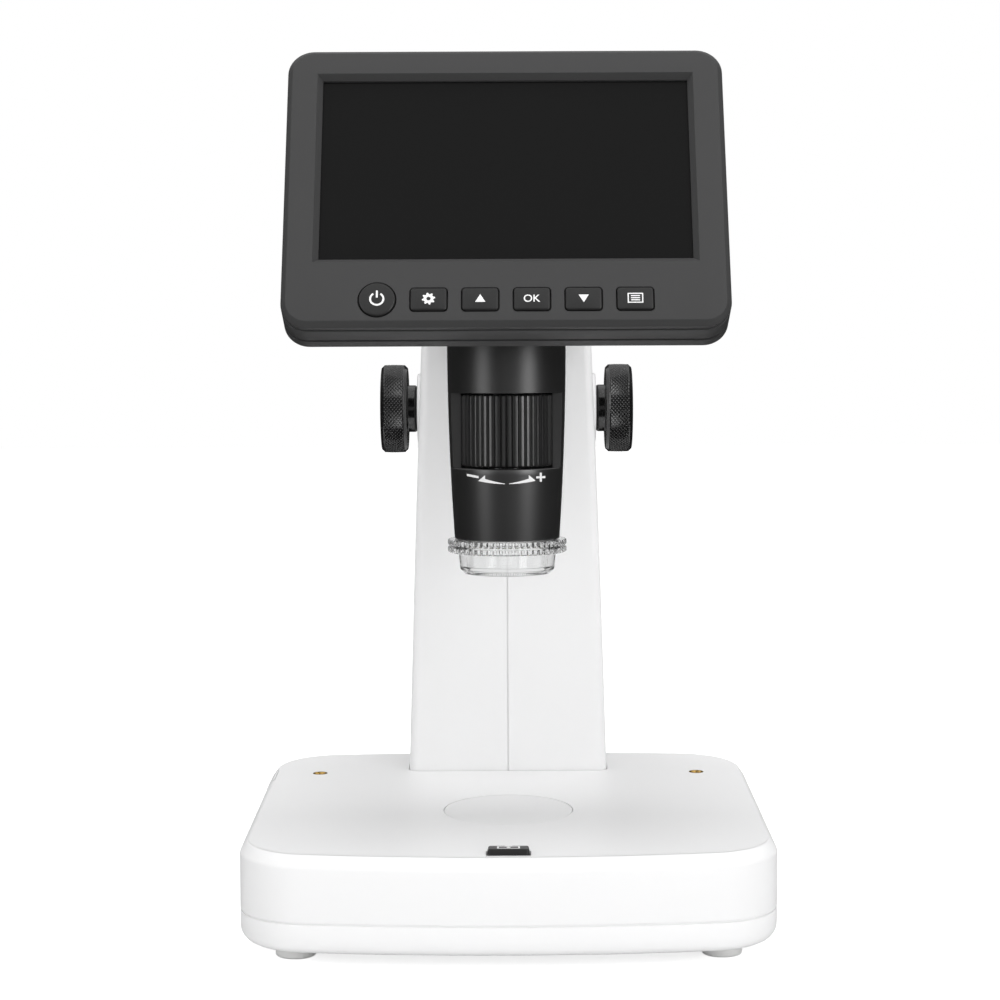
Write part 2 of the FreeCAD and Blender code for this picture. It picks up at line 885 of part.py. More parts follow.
def rod_bracket(bottom, cavity):
    reach = arm_root_half_width
    top = bottom + rod_bracket_height
    back = rod_y + rod_radius + bracket_back_wall
    bracket = block(-reach, reach, arm_front, back, bottom, top).common(cavity)
    half = gear_width / 2 + slip_gap
    rack_path = block(
        -half, half, rack_front_y - slip_gap, back + 1,
        rack_low - head_travel_down - slip_gap, rack_high + head_travel_up + slip_gap,
    )
    return bracket.cut(rods(rod_radius, lower_bracket_bottom, top + 1) + [rack_path])


def head_carriage():
    body = block(
        -carriage_half_width, carriage_half_width, carriage_front, carriage_back, carriage_bottom, carriage_top,
    )
    channel_half = gear_width / 2 + 5
    channel = block(-channel_half, channel_half, rack_front_y, carriage_back + 1, carriage_bottom - 1,
                    carriage_top + 1)
    bores = rods(rod_radius + running_gap, carriage_bottom - 1, carriage_top + 1)
    lightening = block(
        -carriage_half_width - 1, carriage_half_width + 1,
        rod_y - rod_radius - 0.6, carriage_back + 1,
        carriage_bottom + 9, carriage_top - 9,
    )
    return body.cut([channel, lightening] + bores)


# Gears

def involute(base_radius, radius):
    """Involute roll angle from the base circle to a point at the given radius."""
    slope = math.sqrt((radius / base_radius) ** 2 - 1)
    return slope - math.atan(slope)


pressure_angle = math.radians(20)


def pinion():
    base_radius = pinion_pitch_radius * math.cos(pressure_angle)
    root_radius = pinion_pitch_radius - pinion_dedendum * gear_module
    half_tooth = (tooth_pitch / 2 - gear_backlash / 2) / 2 / pinion_pitch_radius
    half_at_base = half_tooth + involute(base_radius, pinion_pitch_radius)
    flank_radii = [base_radius + (pinion_outer_radius - base_radius) * step / 4 for step in range(5)]
    points = []
    for tooth in range(pinion_teeth):
        middle = math.pi + 2 * math.pi * tooth / pinion_teeth
        rising = [(root_radius, half_at_base)]
        rising += [(radius, half_at_base - involute(base_radius, radius)) for radius in flank_radii]
        falling = [(radius, -half) for radius, half in reversed(rising)]
        for radius, half in rising + falling:
            turn = middle - half
            points.append(Vector(-gear_width / 2, radius * math.cos(turn), radius * math.sin(turn)))
    points.append(points[0])
    gear = Part.Face(Part.makePolygon(points)).extrude(Vector(gear_width, 0, 0))
    gear.translate(Vector(0, knob_axis_y, knob_height))
    return gear.cut(rod(shaft_radius, Vector(-gear_width, knob_axis_y, knob_height), x_axis, 2 * gear_width))


def rack():
    """Bar with straight-flanked teeth facing the pinion, a gap facing the pinion's tooth at rest."""
    first = math.floor((knob_height - rack_low) / tooth_pitch)
    last = math.floor((rack_high - knob_height) / tooth_pitch)
    half_pitch_tooth = (tooth_pitch / 2 - gear_backlash / 2) / 2
    half_tip = half_pitch_tooth - rack_addendum * gear_module * math.tan(pressure_angle)
    half_root = half_pitch_tooth + rack_dedendum * gear_module * math.tan(pressure_angle)
    points = [Vector(-gear_width / 2, rack_front_y, rack_low), Vector(-gear_width / 2, rack_root_y, rack_low)]
    for index in range(-first, last):
        middle = knob_height + (index + 0.5) * tooth_pitch
        points.append(Vector(-gear_width / 2, rack_root_y, middle - half_root))
        points.append(Vector(-gear_width / 2, rack_tip_y, middle - half_tip))
        points.append(Vector(-gear_width / 2, rack_tip_y, middle + half_tip))
        points.append(Vector(-gear_width / 2, rack_root_y, middle + half_root))
    points.append(Vector(-gear_width / 2, rack_root_y, rack_high))
    points.append(Vector(-gear_width / 2, rack_front_y, rack_high))
    points.append(points[0])
    return Part.Face(Part.makePolygon(points)).extrude(Vector(gear_width, 0, 0))


# Focus knobs

hub_middle = (boss_face + hub_gap + knob_outer_face - knob_thickness) / 2
set_screw_start = Vector(hub_middle, knob_axis_y + shaft_radius, knob_height)


def knob_shaft():
    half = knob_outer_face - knob_cap_thickness
    return rod(shaft_radius, Vector(-half, knob_axis_y, knob_height), x_axis, 2 * half)


def shaft_bushings():
    inner_x = arm_half_width(knob_height) - arm_wall - slip_gap
    length = boss_face - inner_x
    right = tube(bushing_radius, shaft_radius + running_gap, Vector(inner_x, knob_axis_y, knob_height), x_axis,
                 length)
    return Part.makeCompound([mirrored(right), right])


def focus_knob():
    grip_start = knob_outer_face - knob_thickness
    hub_start = boss_face + hub_gap
    knob = spindle([
        (hub_start, 0), (hub_start, hub_radius - hub_chamfer), (hub_start + hub_chamfer, hub_radius),
        (grip_start, hub_radius), (grip_start, knob_radius - knob_chamfer),
        (grip_start + knob_chamfer, knob_radius), (knob_outer_face - knob_chamfer, knob_radius),
        (knob_outer_face, knob_radius - knob_chamfer), (knob_outer_face, 0),
    ], knob_axis_y, knob_height)
    bore = rod(shaft_radius, Vector(0, knob_axis_y, knob_height), x_axis, knob_outer_face - knob_cap_thickness)
    return knob.cut([bore, set_screw_hole()]).removeSplitter()


def set_screw_hole():
    return rod(screw_radius, set_screw_start, y_axis, knob_radius)


def knob_set_screws():
    right = rod(screw_radius, set_screw_start, y_axis, hub_radius - shaft_radius - head_pocket_gap)
    return Part.makeCompound([mirrored(right), right])


# Barrel

def barrel_form():
    shoulder = Vector(barrel_shoulder_radius, 0, barrel_shoulder_height)
    middle = Vector(barrel_middle_radius, 0, barrel_middle_height)
    nose = Vector(barrel_nose_radius, 0, barrel_bottom)
    crown = Vector(barrel_shoulder_radius, 0, barrel_top)
    foot = Vector(0, 0, barrel_bottom)
    peak = Vector(0, 0, barrel_top)
    edges = [
        Part.LineSegment(foot, nose).toShape(),
        Part.Arc(nose, middle, shoulder).toShape(),
        Part.LineSegment(shoulder, crown).toShape(),
        Part.LineSegment(crown, peak).toShape(),
        Part.LineSegment(peak, foot).toShape(),
    ]
    form = Part.Face(Part.Wire(edges)).revolve(Vector(0, 0, 0), z_axis, 360)
    form.translate(Vector(0, optical_axis_y, 0))
    return form


def on_axis(radius, z_low, z_high):
    return rod(radius, Vector(0, optical_axis_y, z_low), z_axis, z_high - z_low)


shelf_top = window_top + upper_shelf_thickness
shelf_bottom = window_bottom - lower_shelf_thickness
wheel_pocket_radius = wheel_radius + wheel_pocket_gap
barrel_screw_spots = [
    (side * x, height)
    for x, height in (
        (upper_screw_x, window_top + upper_shelf_thickness / 2),
        (lower_screw_x, window_bottom - lower_shelf_thickness / 2),
    )
    for side in (-1, 1)
]


def barrel_shells():
    neck_back = carriage_front
    neck = block(-neck_half_width, neck_half_width, optical_axis_y, neck_back, neck_bottom, barrel_top)
    solid = barrel_form().fuse(neck)
    upper_bore = barrel_shoulder_radius - barrel_wall - 0.4
    neck_room = block(
        -neck_half_width + barrel_wall, neck_half_width - barrel_wall,
        optical_axis_y, neck_back - barrel_wall,
        neck_bottom + barrel_wall, barrel_top - barrel_wall,
    )
    cuts = [
        on_axis(upper_bore, shelf_top, barrel_top - barrel_wall),
        neck_room,
        on_axis(barrel_bore_radius, barrel_bottom - 1, shelf_bottom),
        on_axis(optical_tube_radius, shelf_bottom - 1, shelf_top + 1),
        on_axis(wheel_pocket_radius, window_bottom, window_top),
        block(-20, 20, optical_axis_y - 20, optical_axis_y - window_depth, window_bottom, window_top),
    ]
    for x, height in barrel_screw_spots:
        head_start = Vector(x, optical_axis_y + barrel_screw_back, height)
        cuts.append(rod(small_head_radius, head_start, y_axis, 10))
        shank_start = Vector(x, optical_axis_y + barrel_screw_back - barrel_screw_length, height)
        cuts.append(rod(small_screw_radius, shank_start, y_axis, barrel_screw_length + 1))
    for x in hinge_screw_x:
        cuts.append(rod(small_screw_radius, Vector(x, hinge_screw_y, barrel_top - 5), z_axis, 6))
    solid = solid.cut(cuts)
    front_half = block(-30, 30, optical_axis_y - 30, optical_axis_y, barrel_bottom - 1, barrel_top + 1)
    front = solid.common(front_half)
    rear = solid.cut(front_half)
    return front.removeSplitter(), rear.removeSplitter()


def barrel_screws():
    screws = []
    for x, height in barrel_screw_spots:
        start = Vector(x, optical_axis_y + barrel_screw_back + small_head_height, height)
        screws.append(screw(small_screw_radius, small_head_radius, small_head_height, start, Vector(0, -1, 0),
                            barrel_screw_length - 1))
    return Part.makeCompound(screws)


def optical_tube():
    tube_start = Vector(0, optical_axis_y, optical_tube_bottom)
    return tube(optical_tube_radius, optical_tube_bore, tube_start, z_axis, optical_tube_top - optical_tube_bottom)


def sensor_board():
    half = sensor_board_half
    return block(
        -half, half, optical_axis_y - half, optical_axis_y + half,
        optical_tube_top, optical_tube_top + board_thickness,
    )


def image_sensor():
    return block(
        -3.5, 3.5, optical_axis_y - 3.0, optical_axis_y + 3.0,
        optical_tube_top - 1.2, optical_tube_top,
    )


def ring_light_board():
    board_low = optical_tube_bottom - board_thickness
    start = Vector(0, optical_axis_y, board_low)
    return tube(barrel_bore_radius, optical_tube_bore, start, z_axis, board_thickness)


def ring_lights():
    lights = []
    top = optical_tube_bottom - board_thickness
    for index in range(light_count):
        lamp = block(
            light_ring_radius - light_size / 2, light_ring_radius + light_size / 2,
            -light_size / 2, light_size / 2, top - light_height, top,
        )
        lamp.rotate(Vector(0, 0, 0), z_axis, 360.0 * (index + 0.5) / light_count)
        lamp.translate(Vector(0, optical_axis_y, 0))
        lights.append(lamp)
    return Part.makeCompound(lights)


def focus_wheel():
    low = window_bottom + wheel_end_gap
    high = window_top - wheel_end_gap
    wheel = toothed_disc(wheel_radius, wheel_rib_depth, wheel_rib_count, low, high, optical_axis_y)
    bore = on_axis(optical_tube_radius + running_gap, low - 1, high + 1)
    return wheel.cut(bore)


def lens_cell():
    low = lens_cell_bottom
    high = low + lens_cell_length
    cell = on_axis(optical_tube_bore - running_gap, low, high)
    seat = on_axis(lens_radius, low - 1, low + lens_thickness + lens_seat)
    return cell.cut([seat, on_axis(lens_radius - 0.7, low, high + 1)])


def objective_lens():
    low = lens_cell_bottom + lens_seat
    lens = on_axis(lens_radius, low, low + lens_thickness)
    ball_radius = 9.0
    ball_centre = Vector(0, optical_axis_y, low + ball_radius)
    return lens.common(Part.makeSphere(ball_radius, ball_centre))


def clear_cap():
    ring_top = barrel_bottom - 0.2
    spigot_radius = barrel_bore_radius - running_gap
    spigot_top = ring_top + cap_spigot_height
    bore = spigot_radius - cap_wall
    outline = [
        (bore, spigot_top), (spigot_radius, spigot_top), (spigot_radius, ring_top),
        (cap_cup_radius, ring_top), (cap_cup_radius, cap_ring_bottom),
        (cap_cup_lower_radius, cap_bottom + 1.2), (cap_cup_lower_radius - 0.4, cap_bottom + 0.4),
        (cap_rim_radius, cap_bottom), (cap_rim_radius - cap_wall, cap_bottom),
        (bore, cap_bottom + 1.6),
    ]
    cup = lathe(outline, optical_axis_y)
    tooth_height = (ring_top - cap_ring_bottom - 0.6) / 2
    lower = toothed_disc(cap_ring_radius, cap_tooth_depth, cap_ring_teeth, cap_ring_bottom,
                         cap_ring_bottom + tooth_height, optical_axis_y)
    upper = toothed_disc(cap_ring_radius, cap_tooth_depth, cap_ring_teeth, ring_top - tooth_height, ring_top,
                         optical_axis_y)
    waist = on_axis(cap_ring_radius - cap_tooth_depth - 0.3, cap_ring_bottom, ring_top)
    ring = waist.fuse([lower, upper]).cut(on_axis(cap_cup_radius - 0.5, cap_ring_bottom - 1, ring_top + 1))
    return cup.fuse(ring).removeSplitter()


# Display, drawn flat: x across, y up the face, z out of the face, then leaned back

def placed_on_display(shape):
    shape.Placement = display_turn.multiply(shape.Placement)
    return shape


def display_slab(inset, z_low, z_high):
    half = display_width / 2 - inset
    low = -display_bevel + inset
    high = display_face_height + display_bevel - inset
    return rounded_slab(half, low, high, z_low, z_high, display_corner_radius - inset)


def framed(z_low, z_high):
    return display_slab(0, z_low, z_high).cut(display_slab(display_wall, z_low, z_high))


def groove_band(z_low, z_high):
    return display_slab(groove_inset, z_low, z_high).cut(display_slab(display_wall, z_low, z_high))


window_low = window_margin
window_high = window_margin + window_height
display_boss_x = display_width / 2 - display_boss_side_distance
display_boss_spots = [
    (x, y)
    for y in (display_boss_low, display_face_height - display_boss_top_distance)
    for x in (-display_boss_x, display_boss_x)
]
key_places = [(index - 2.5) * key_pitch for index in range(6)]
key_board_half = 2.5 * key_pitch + power_key_radius + key_board_margin
key_board_top = -bezel_plate - key_flange_gap - key_flange_thickness - key_travel - 0.1 - switch_height
panel_back = -bezel_plate - glass_thickness - panel_thickness
main_board_top = panel_back - panel_gap
main_board_bottom = main_board_top - board_thickness


def window_recess():
    half = window_width / 2
    outer = half + recess_width
    low_points = [
        Vector(-half, window_low, -recess_depth), Vector(half, window_low, -recess_depth),
        Vector(half, window_high, -recess_depth), Vector(-half, window_high, -recess_depth),
        Vector(-half, window_low, -recess_depth),
    ]
    high_points = [
        Vector(-outer, window_low - recess_width, 0), Vector(outer, window_low - recess_width, 0),
        Vector(outer, window_high + recess_width, 0), Vector(-outer, window_high + recess_width, 0),
        Vector(-outer, window_low - recess_width, 0),
    ]
    return Part.makeLoft([Part.makePolygon(low_points), Part.makePolygon(high_points)], True, True)


def key_form(index, grow, z_low, z_high):
    """Outline of one key, grown on every side: the first is round, the others are rounded rectangles."""
    x = key_places[index]
    if index == 0:
        return rod(power_key_radius + grow, Vector(x, key_row, z_low), z_axis, z_high - z_low)
    half_x = key_width / 2 + grow
    half_y = key_height / 2 + grow
    form = rounded_slab(half_x, key_row - half_y, key_row + half_y, z_low, z_high, key_corner + grow)
    form.translate(Vector(x, 0, 0))
    return form


def display_bezel():
    plate = display_slab(0, -bezel_depth + groove_width, 0)
    plate = plate.makeChamfer(display_bevel - 0.01, edges_at_level(plate, 0))
    pocket = display_slab(display_wall, -bezel_depth, -bezel_plate)
    groove = groove_band(-bezel_depth, -bezel_depth + groove_width)
    half = window_width / 2
    window = block(-half, half, window_low, window_high, -bezel_plate - 1, 1)
    bosses = []
    boss_holes = []
    for x, y in display_boss_spots:
        bosses.append(rod(display_boss_radius, Vector(x, y, -bezel_boss_depth), z_axis, bezel_boss_depth - 1))
        start = Vector(x, y, -bezel_boss_depth - 1)
        boss_holes.append(rod(small_screw_radius, start, z_axis, bezel_boss_depth - 0.5))
    end = key_board_half - board_boss_distance
    for x in (-end, -key_pitch, key_pitch, end):
        bosses.append(rod(board_boss_radius, Vector(x, key_row, key_board_top), z_axis, -key_board_top - 1))
    bezel = plate.cut(pocket).fuse([groove] + bosses)
    holes = [key_form(index, key_gap, -bezel_plate - 1, 1) for index in range(6)]
    bezel = bezel.cut([window, window_recess()] + holes + boss_holes)
    return placed_on_display(bezel.removeSplitter())


def display_frame():
    band = framed(-frame_depth + groove_width, -bezel_depth)
    groove = groove_band(-frame_depth, -frame_depth + groove_width)
    frame = band.fuse(groove)
    slot = block(
        display_width / 2 - display_wall - 1, display_width / 2 + 1, card_low, card_low + card_width,
        main_board_bottom - card_drop - card_gap, main_board_bottom - card_drop,
    )
    return placed_on_display(frame.cut(slot).removeSplitter())


def display_rear_cover():
    shell = display_slab(0, -display_thickness, -frame_depth)
    shell = shell.makeChamfer(back_chamfer, edges_at_level(shell, -display_thickness))
    back_wall = display_thickness - back_chamfer
    cavity = display_slab(display_wall, -back_wall, -frame_depth)
    shell = shell.cut(cavity)
    additions = []
    cuts = []
    for x, y in display_boss_spots:
        length = back_wall - bezel_boss_depth
        additions.append(rod(display_boss_radius, Vector(x, y, -back_wall), z_axis, length))
        cuts.append(rod(small_screw_radius, Vector(x, y, -display_thickness), z_axis, display_thickness))
        cuts.append(rod(small_head_radius, Vector(x, y, -display_thickness), z_axis, 1.4))
    hinge_z = -display_thickness - hinge_offset
    ear_inner = hinge_knuckle_half + side_gap
    ear_outer = ear_inner + hinge_ear_thickness
    for low, high in ((-ear_outer, -ear_inner), (ear_inner, ear_outer)):
        web = block(
            low, high, hinge_row - hinge_radius, hinge_row + hinge_radius, hinge_z, -display_thickness + 1,
        )
        eye = rod(hinge_radius, Vector(low, hinge_row, hinge_z), x_axis, high - low)
        additions.append(web.fuse(eye))
    cuts.append(rod(hinge_pin_radius, Vector(-ear_outer, hinge_row, hinge_z), x_axis, 2 * ear_outer))
    return placed_on_display(shell.fuse(additions).cut(cuts).removeSplitter())


def display_screws():
    screws = []
    for x, y in display_boss_spots:
        start = Vector(x, y, -display_thickness + 0.2)
        screws.append(screw(small_screw_radius, small_head_radius, small_head_height, start, z_axis,
                            display_thickness - 4))
    return placed_on_display(Part.makeCompound(screws))


def screen_glass():
    half = window_width / 2 + glass_border
    glass = block(
        -half, half, window_low - glass_border, window_high + glass_border,
        -bezel_plate - glass_thickness, -bezel_plate,
    )
    return placed_on_display(glass)


def lcd_panel():
    half = window_width / 2 + panel_border_x
    panel = block(
        -half, half, window_low - panel_border_y, window_high + panel_border_y,
        panel_back, -bezel_plate - glass_thickness,
    )
    return placed_on_display(panel)


def main_board():
    half = window_width / 2
    board = block(-half, half, window_low, window_high, main_board_bottom, main_board_top)
    chip_low = main_board_bottom - chip_height
    battery_top = battery_low + battery_length
    corners = [
        (battery_left - 4 - large_chip_size, battery_top - large_chip_size, large_chip_size),
        (battery_left + 4, battery_top + 2, small_chip_size),
    ]
    chips = [block(x, x + size, y, y + size, chip_low, main_board_bottom) for x, y, size in corners]
    return placed_on_display(board.fuse(chips))


def battery_pack():
    back_wall = -display_thickness + back_chamfer
    return placed_on_display(block(
        battery_left, battery_left + battery_width, battery_low, battery_low + battery_length,
        back_wall, back_wall + battery_thickness,
    ))


def card_socket():
    top = main_board_bottom
    face = display_width / 2 - display_wall - card_wall
    back = face - card_socket_depth
    mouth_top = top - card_drop
    socket = block(back, face, card_low - 1, card_low + card_width + 1, mouth_top - card_gap - card_wall, top)
    mouth = block(back + 2, face + 1, card_low, card_low + card_width, mouth_top - card_gap, mouth_top)
    return placed_on_display(socket.cut(mouth))


def key_board():
    board = block(
        -key_board_half, key_board_half, key_row - key_board_below, key_row + key_board_above,
        key_board_top - board_thickness, key_board_top,
    )
    return placed_on_display(board)


def key_switches():
    half = switch_width / 2
    top = key_board_top + switch_height
    switches = []
    for x in key_places:
        switches.append(block(x - half, x + half, key_row - half, key_row + half, key_board_top, top))
    return placed_on_display(Part.makeCompound(switches))


def key(index):
    flange_top = -bezel_plate - key_flange_gap
    cap = key_form(index, 0, flange_top, key_proud)
    cap = cap.makeFillet(key_edge_radius, edges_at_level(cap, key_proud))
    flange_low = flange_top - key_flange_thickness
    flange = key_form(index, key_flange, flange_low, flange_top)
    room = display_slab(display_wall + key_wall_gap, flange_low - 1, flange_top + 1)
    return placed_on_display(cap.fuse(flange.common(room)))


# Tilt hinge

def hinge_axis():
    return display_turn.multVec(Vector(0, hinge_row, -display_thickness - hinge_offset))


hinge_screw_x = [-hinge_screw_half_spread, hinge_screw_half_spread]
hinge_screw_y = optical_axis_y + hinge_screw_setback
hinge_foot_top = barrel_top + hinge_foot_thickness


def hinge_bracket():
    axis = hinge_axis()
    front = axis.y - hinge_web_half
    back = hinge_screw_y + hinge_web_half
    foot = block(-hinge_knuckle_half, hinge_knuckle_half, front, back, barrel_top, hinge_foot_top)
    web = block(-hinge_knuckle_half, hinge_knuckle_half, front, axis.y + hinge_web_half, barrel_top, axis.z)
    eye = rod(hinge_radius, Vector(-hinge_knuckle_half, axis.y, axis.z), x_axis, 2 * hinge_knuckle_half)
    cuts = [rod(hinge_pin_radius + running_gap, Vector(-20, axis.y, axis.z), x_axis, 40)]
    for x in hinge_screw_x:
        cuts.append(rod(small_screw_radius, Vector(x, hinge_screw_y, barrel_top - 1), z_axis, 5))
    return foot.fuse([web, eye]).cut(cuts).removeSplitter()


def hinge_screws():
    screws = []
    for x in hinge_screw_x:
        start = Vector(x, hinge_screw_y, hinge_foot_top + small_head_height)
        screws.append(screw(small_screw_radius, small_head_radius, small_head_height, start, Vector(0, 0, -1),
                            hinge_screw_length))
    return Part.makeCompound(screws)


def hinge_pin():
    axis = hinge_axis()
    half = hinge_knuckle_half + side_gap + hinge_ear_thickness
    return rod(hinge_pin_radius, Vector(-half, axis.y, axis.z), x_axis, 2 * half)


def build():
    form = base_top_form()
    cavity = arm_cavity()
    left_shell, right_shell = arm_shells(cavity)
    front_barrel, rear_barrel = barrel_shells()
    knob = focus_knob()
    parts = {
        "base_top_shell": base_top_shell(form),
        "base_bottom_cover": base_bottom_cover(),
        "base_screws": base_screws(),
        "rubber_feet": rubber_feet(),
        "stage_disc": stage_disc(),
        "stage_light_board": stage_light_board(),
        "brass_inserts": brass_inserts(),
        "shutter_button": shutter_button(),
        "shutter_board": shutter_board(),
        "port_cover": port_cover(form),
        "port_cover_pin": port_pin(port_cover_pin_radius, pin_overhang),
        "power_socket": power_socket(),
        "arm_left_shell": left_shell,
        "arm_right_shell": right_shell,
        "arm_screws": arm_screws(),
        "guide_rods": guide_rods(),
        "lower_rod_bracket": rod_bracket(lower_bracket_bottom, cavity),
        "upper_rod_bracket": rod_bracket(upper_bracket_bottom, cavity),
        "shaft_bushings": shaft_bushings(),
        "knob_shaft": knob_shaft(),
        "pinion": pinion(),
        "right_focus_knob": knob,
        "left_focus_knob": mirrored(knob),
        "knob_set_screws": knob_set_screws(),
        "head_carriage": head_carriage(),
        "rack": rack(),
        "barrel_front_shell": front_barrel,
        "barrel_rear_shell": rear_barrel,
        "barrel_screws": barrel_screws(),
        "optical_tube": optical_tube(),
        "sensor_board": sensor_board(),
        "image_sensor": image_sensor(),
        "ring_light_board": ring_light_board(),
        "ring_lights": ring_lights(),
        "focus_wheel": focus_wheel(),
        "lens_cell": lens_cell(),
        "objective_lens": objective_lens(),
        "clear_cap": clear_cap(),
        "hinge_bracket": hinge_bracket(),
        "hinge_screws": hinge_screws(),
        "hinge_pin": hinge_pin(),
        "display_bezel": display_bezel(),
        "display_frame": display_frame(),
        "display_rear_cover": display_rear_cover(),
        "display_screws": display_screws(),
        "screen_glass": screen_glass(),
        "lcd_panel": lcd_panel(),
        "main_board": main_board(),
        "battery_pack": battery_pack(),
        "card_socket": card_socket(),
        "key_board": key_board(),
        "key_switches": key_switches(),
    }
    key_names = ["power_key", "settings_key", "up_key", "ok_key", "down_key", "mode_key"]
    for index, name in enumerate(key_names):
        parts[name] = key(index)
    return parts


os.makedirs("parts", exist_ok=True)
for name, shape in build().items():
    box = shape.BoundBox
    print(
        f"{name:20s} solids {len(shape.Solids)} valid {shape.isValid()} volume {shape.Volume:9.1f}"
        f" x {box.XMin:.1f} {box.XMax:.1f} y {box.YMin:.1f} {box.YMax:.1f} z {box.ZMin:.1f} {box.ZMax:.1f}"
    )
    shape.exportStep(f"parts/{name}.step")
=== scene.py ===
import json
import math

import bmesh
import bpy
import numpy as np
from mathutils import Matrix, Vector
from mathutils.geometry import delaunay_2d_cdt

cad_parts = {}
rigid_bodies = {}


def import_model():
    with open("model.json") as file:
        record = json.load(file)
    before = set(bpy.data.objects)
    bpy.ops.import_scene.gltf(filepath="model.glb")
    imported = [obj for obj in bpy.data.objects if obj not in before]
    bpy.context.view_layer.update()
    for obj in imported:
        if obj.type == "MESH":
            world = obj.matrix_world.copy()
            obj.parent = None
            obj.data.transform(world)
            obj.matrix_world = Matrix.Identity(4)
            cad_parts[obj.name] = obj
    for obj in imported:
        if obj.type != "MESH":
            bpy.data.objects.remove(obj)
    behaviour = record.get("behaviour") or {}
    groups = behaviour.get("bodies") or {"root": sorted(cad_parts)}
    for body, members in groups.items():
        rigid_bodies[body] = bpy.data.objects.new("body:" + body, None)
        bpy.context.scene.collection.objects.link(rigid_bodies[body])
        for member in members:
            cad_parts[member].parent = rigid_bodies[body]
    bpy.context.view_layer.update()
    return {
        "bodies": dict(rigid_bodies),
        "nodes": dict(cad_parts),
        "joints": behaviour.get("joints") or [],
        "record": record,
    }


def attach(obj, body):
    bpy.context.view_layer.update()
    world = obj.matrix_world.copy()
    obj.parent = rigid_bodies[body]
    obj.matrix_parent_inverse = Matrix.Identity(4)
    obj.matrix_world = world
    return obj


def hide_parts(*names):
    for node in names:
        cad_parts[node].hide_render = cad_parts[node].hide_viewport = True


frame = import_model()
mm = 0.001
print("frame:", len(frame["nodes"]), "nodes")


# Surfaces: every shape is worked out in millimetres as arrays, then put into a mesh

# quads of a grid of points; wrap joins the last column to the first
def gridFaces(rows, columns, wrap):
    i = np.arange(rows - 1)[:, None]
    j = np.arange(columns if wrap else columns - 1)[None, :]
    k = (j + 1) % columns
    corners = [i * columns + j, i * columns + k, (i + 1) * columns + k, (i + 1) * columns + j]
    return np.stack(corners, axis=-1).reshape(-1, 4)


# a surface from points[row, column]
def surface(points, wrap=True):
    rows, columns = points.shape[:2]
    return points.reshape(-1, 3), gridFaces(rows, columns, wrap).tolist()


# arc that touches both sides of a corner at reach from it: a and b point along the sides, half is half
# the angle between them
def cornerArc(corner, a, b, reach, half, steps):
    middle = corner + (a + b) / np.linalg.norm(a + b) * reach * math.tan(half) / math.sin(half)
    start, end = corner + a * reach - middle, corner + b * reach - middle
    sweep = math.pi - 2 * half
    t = np.linspace(0, 1, steps + 1)[:, None]
    return middle + (np.sin((1 - t) * sweep) * start + np.sin(t * sweep) * end) / math.sin(sweep)


# polyline with each inner corner swapped for an arc of its own radius, tangent to both sides
def softened(points, radii, steps=4):
    pts = np.asarray(points, float)
    out = [pts[0][None]]
    for before, corner, after, radius in zip(pts[:-2], pts[1:-1], pts[2:], radii):
        if radius <= 0:
            out.append(corner[None])
            continue
        a, b = before - corner, after - corner
        la, lb = np.linalg.norm(a), np.linalg.norm(b)
        a, b = a / la, b / lb
        half = math.acos(max(-1, min(1, float(a @ b)))) / 2
        if half > 1.56:
            out.append(corner[None])
            continue
        reach = min(radius / math.tan(half), 0.49 * la, 0.49 * lb)
        out.append(cornerArc(corner, a, b, reach, half, steps))
    out.append(pts[-1][None])
    return np.concatenate(out)


# rounded rectangle as anchors, outward normals and a radius, so that an inset only shortens the radius
def roundedRect(halfX, lowY, highY, radius, cornerSteps=8, sideSteps=6):
    turns, anchors = [], []
    centres = [(halfX - radius, lowY + radius, -90), (halfX - radius, highY - radius, 0),
               (-halfX + radius, highY - radius, 90), (-halfX + radius, lowY + radius, 180)]
    for index, (x, y, start) in enumerate(centres):
        turn = np.radians(start + np.linspace(0, 90, cornerSteps + 1))
        turns.append(turn)
        anchors.append(np.tile([x, y], (cornerSteps + 1, 1)))
        nextX, nextY = centres[(index + 1) % 4][:2]
        t = np.linspace(0, 1, sideSteps + 1)[1:-1, None]
        anchors.append(np.array([x, y]) * (1 - t) + np.array([nextX, nextY]) * t)
        turns.append(np.full(sideSteps - 1, math.radians(start + 90)))
    turn = np.concatenate(turns)
    return np.concatenate(anchors), np.stack([np.cos(turn), np.sin(turn)], axis=1), radius


# the outline set in by inset
def insetLoop(outline, inset):
    anchors, normals, radius = outline
    return anchors + normals * (radius - inset)


# circle as a loop, counterclockwise
def circle(x, y, radius, steps):
    turn = np.arange(steps) * 2 * math.pi / steps
    return np.stack([x + radius * np.cos(turn), y + radius * np.sin(turn)], axis=1)


# which points lie inside a loop: an odd number of its edges lie to their right
def insideLoop(points, loop):
    a, b = loop, np.roll(loop, -1, axis=0)
    y = points[:, 1][:, None]
    crosses = (a[:, 1] > y) != (b[:, 1] > y)
    slope = (b[:, 0] - a[:, 0]) / np.where(b[:, 1] == a[:, 1], 1, b[:, 1] - a[:, 1])
    x = a[:, 0] + (y - a[:, 1]) * slope
    return (crosses & (points[:, 0][:, None] < x)).sum(axis=1) % 2 == 1


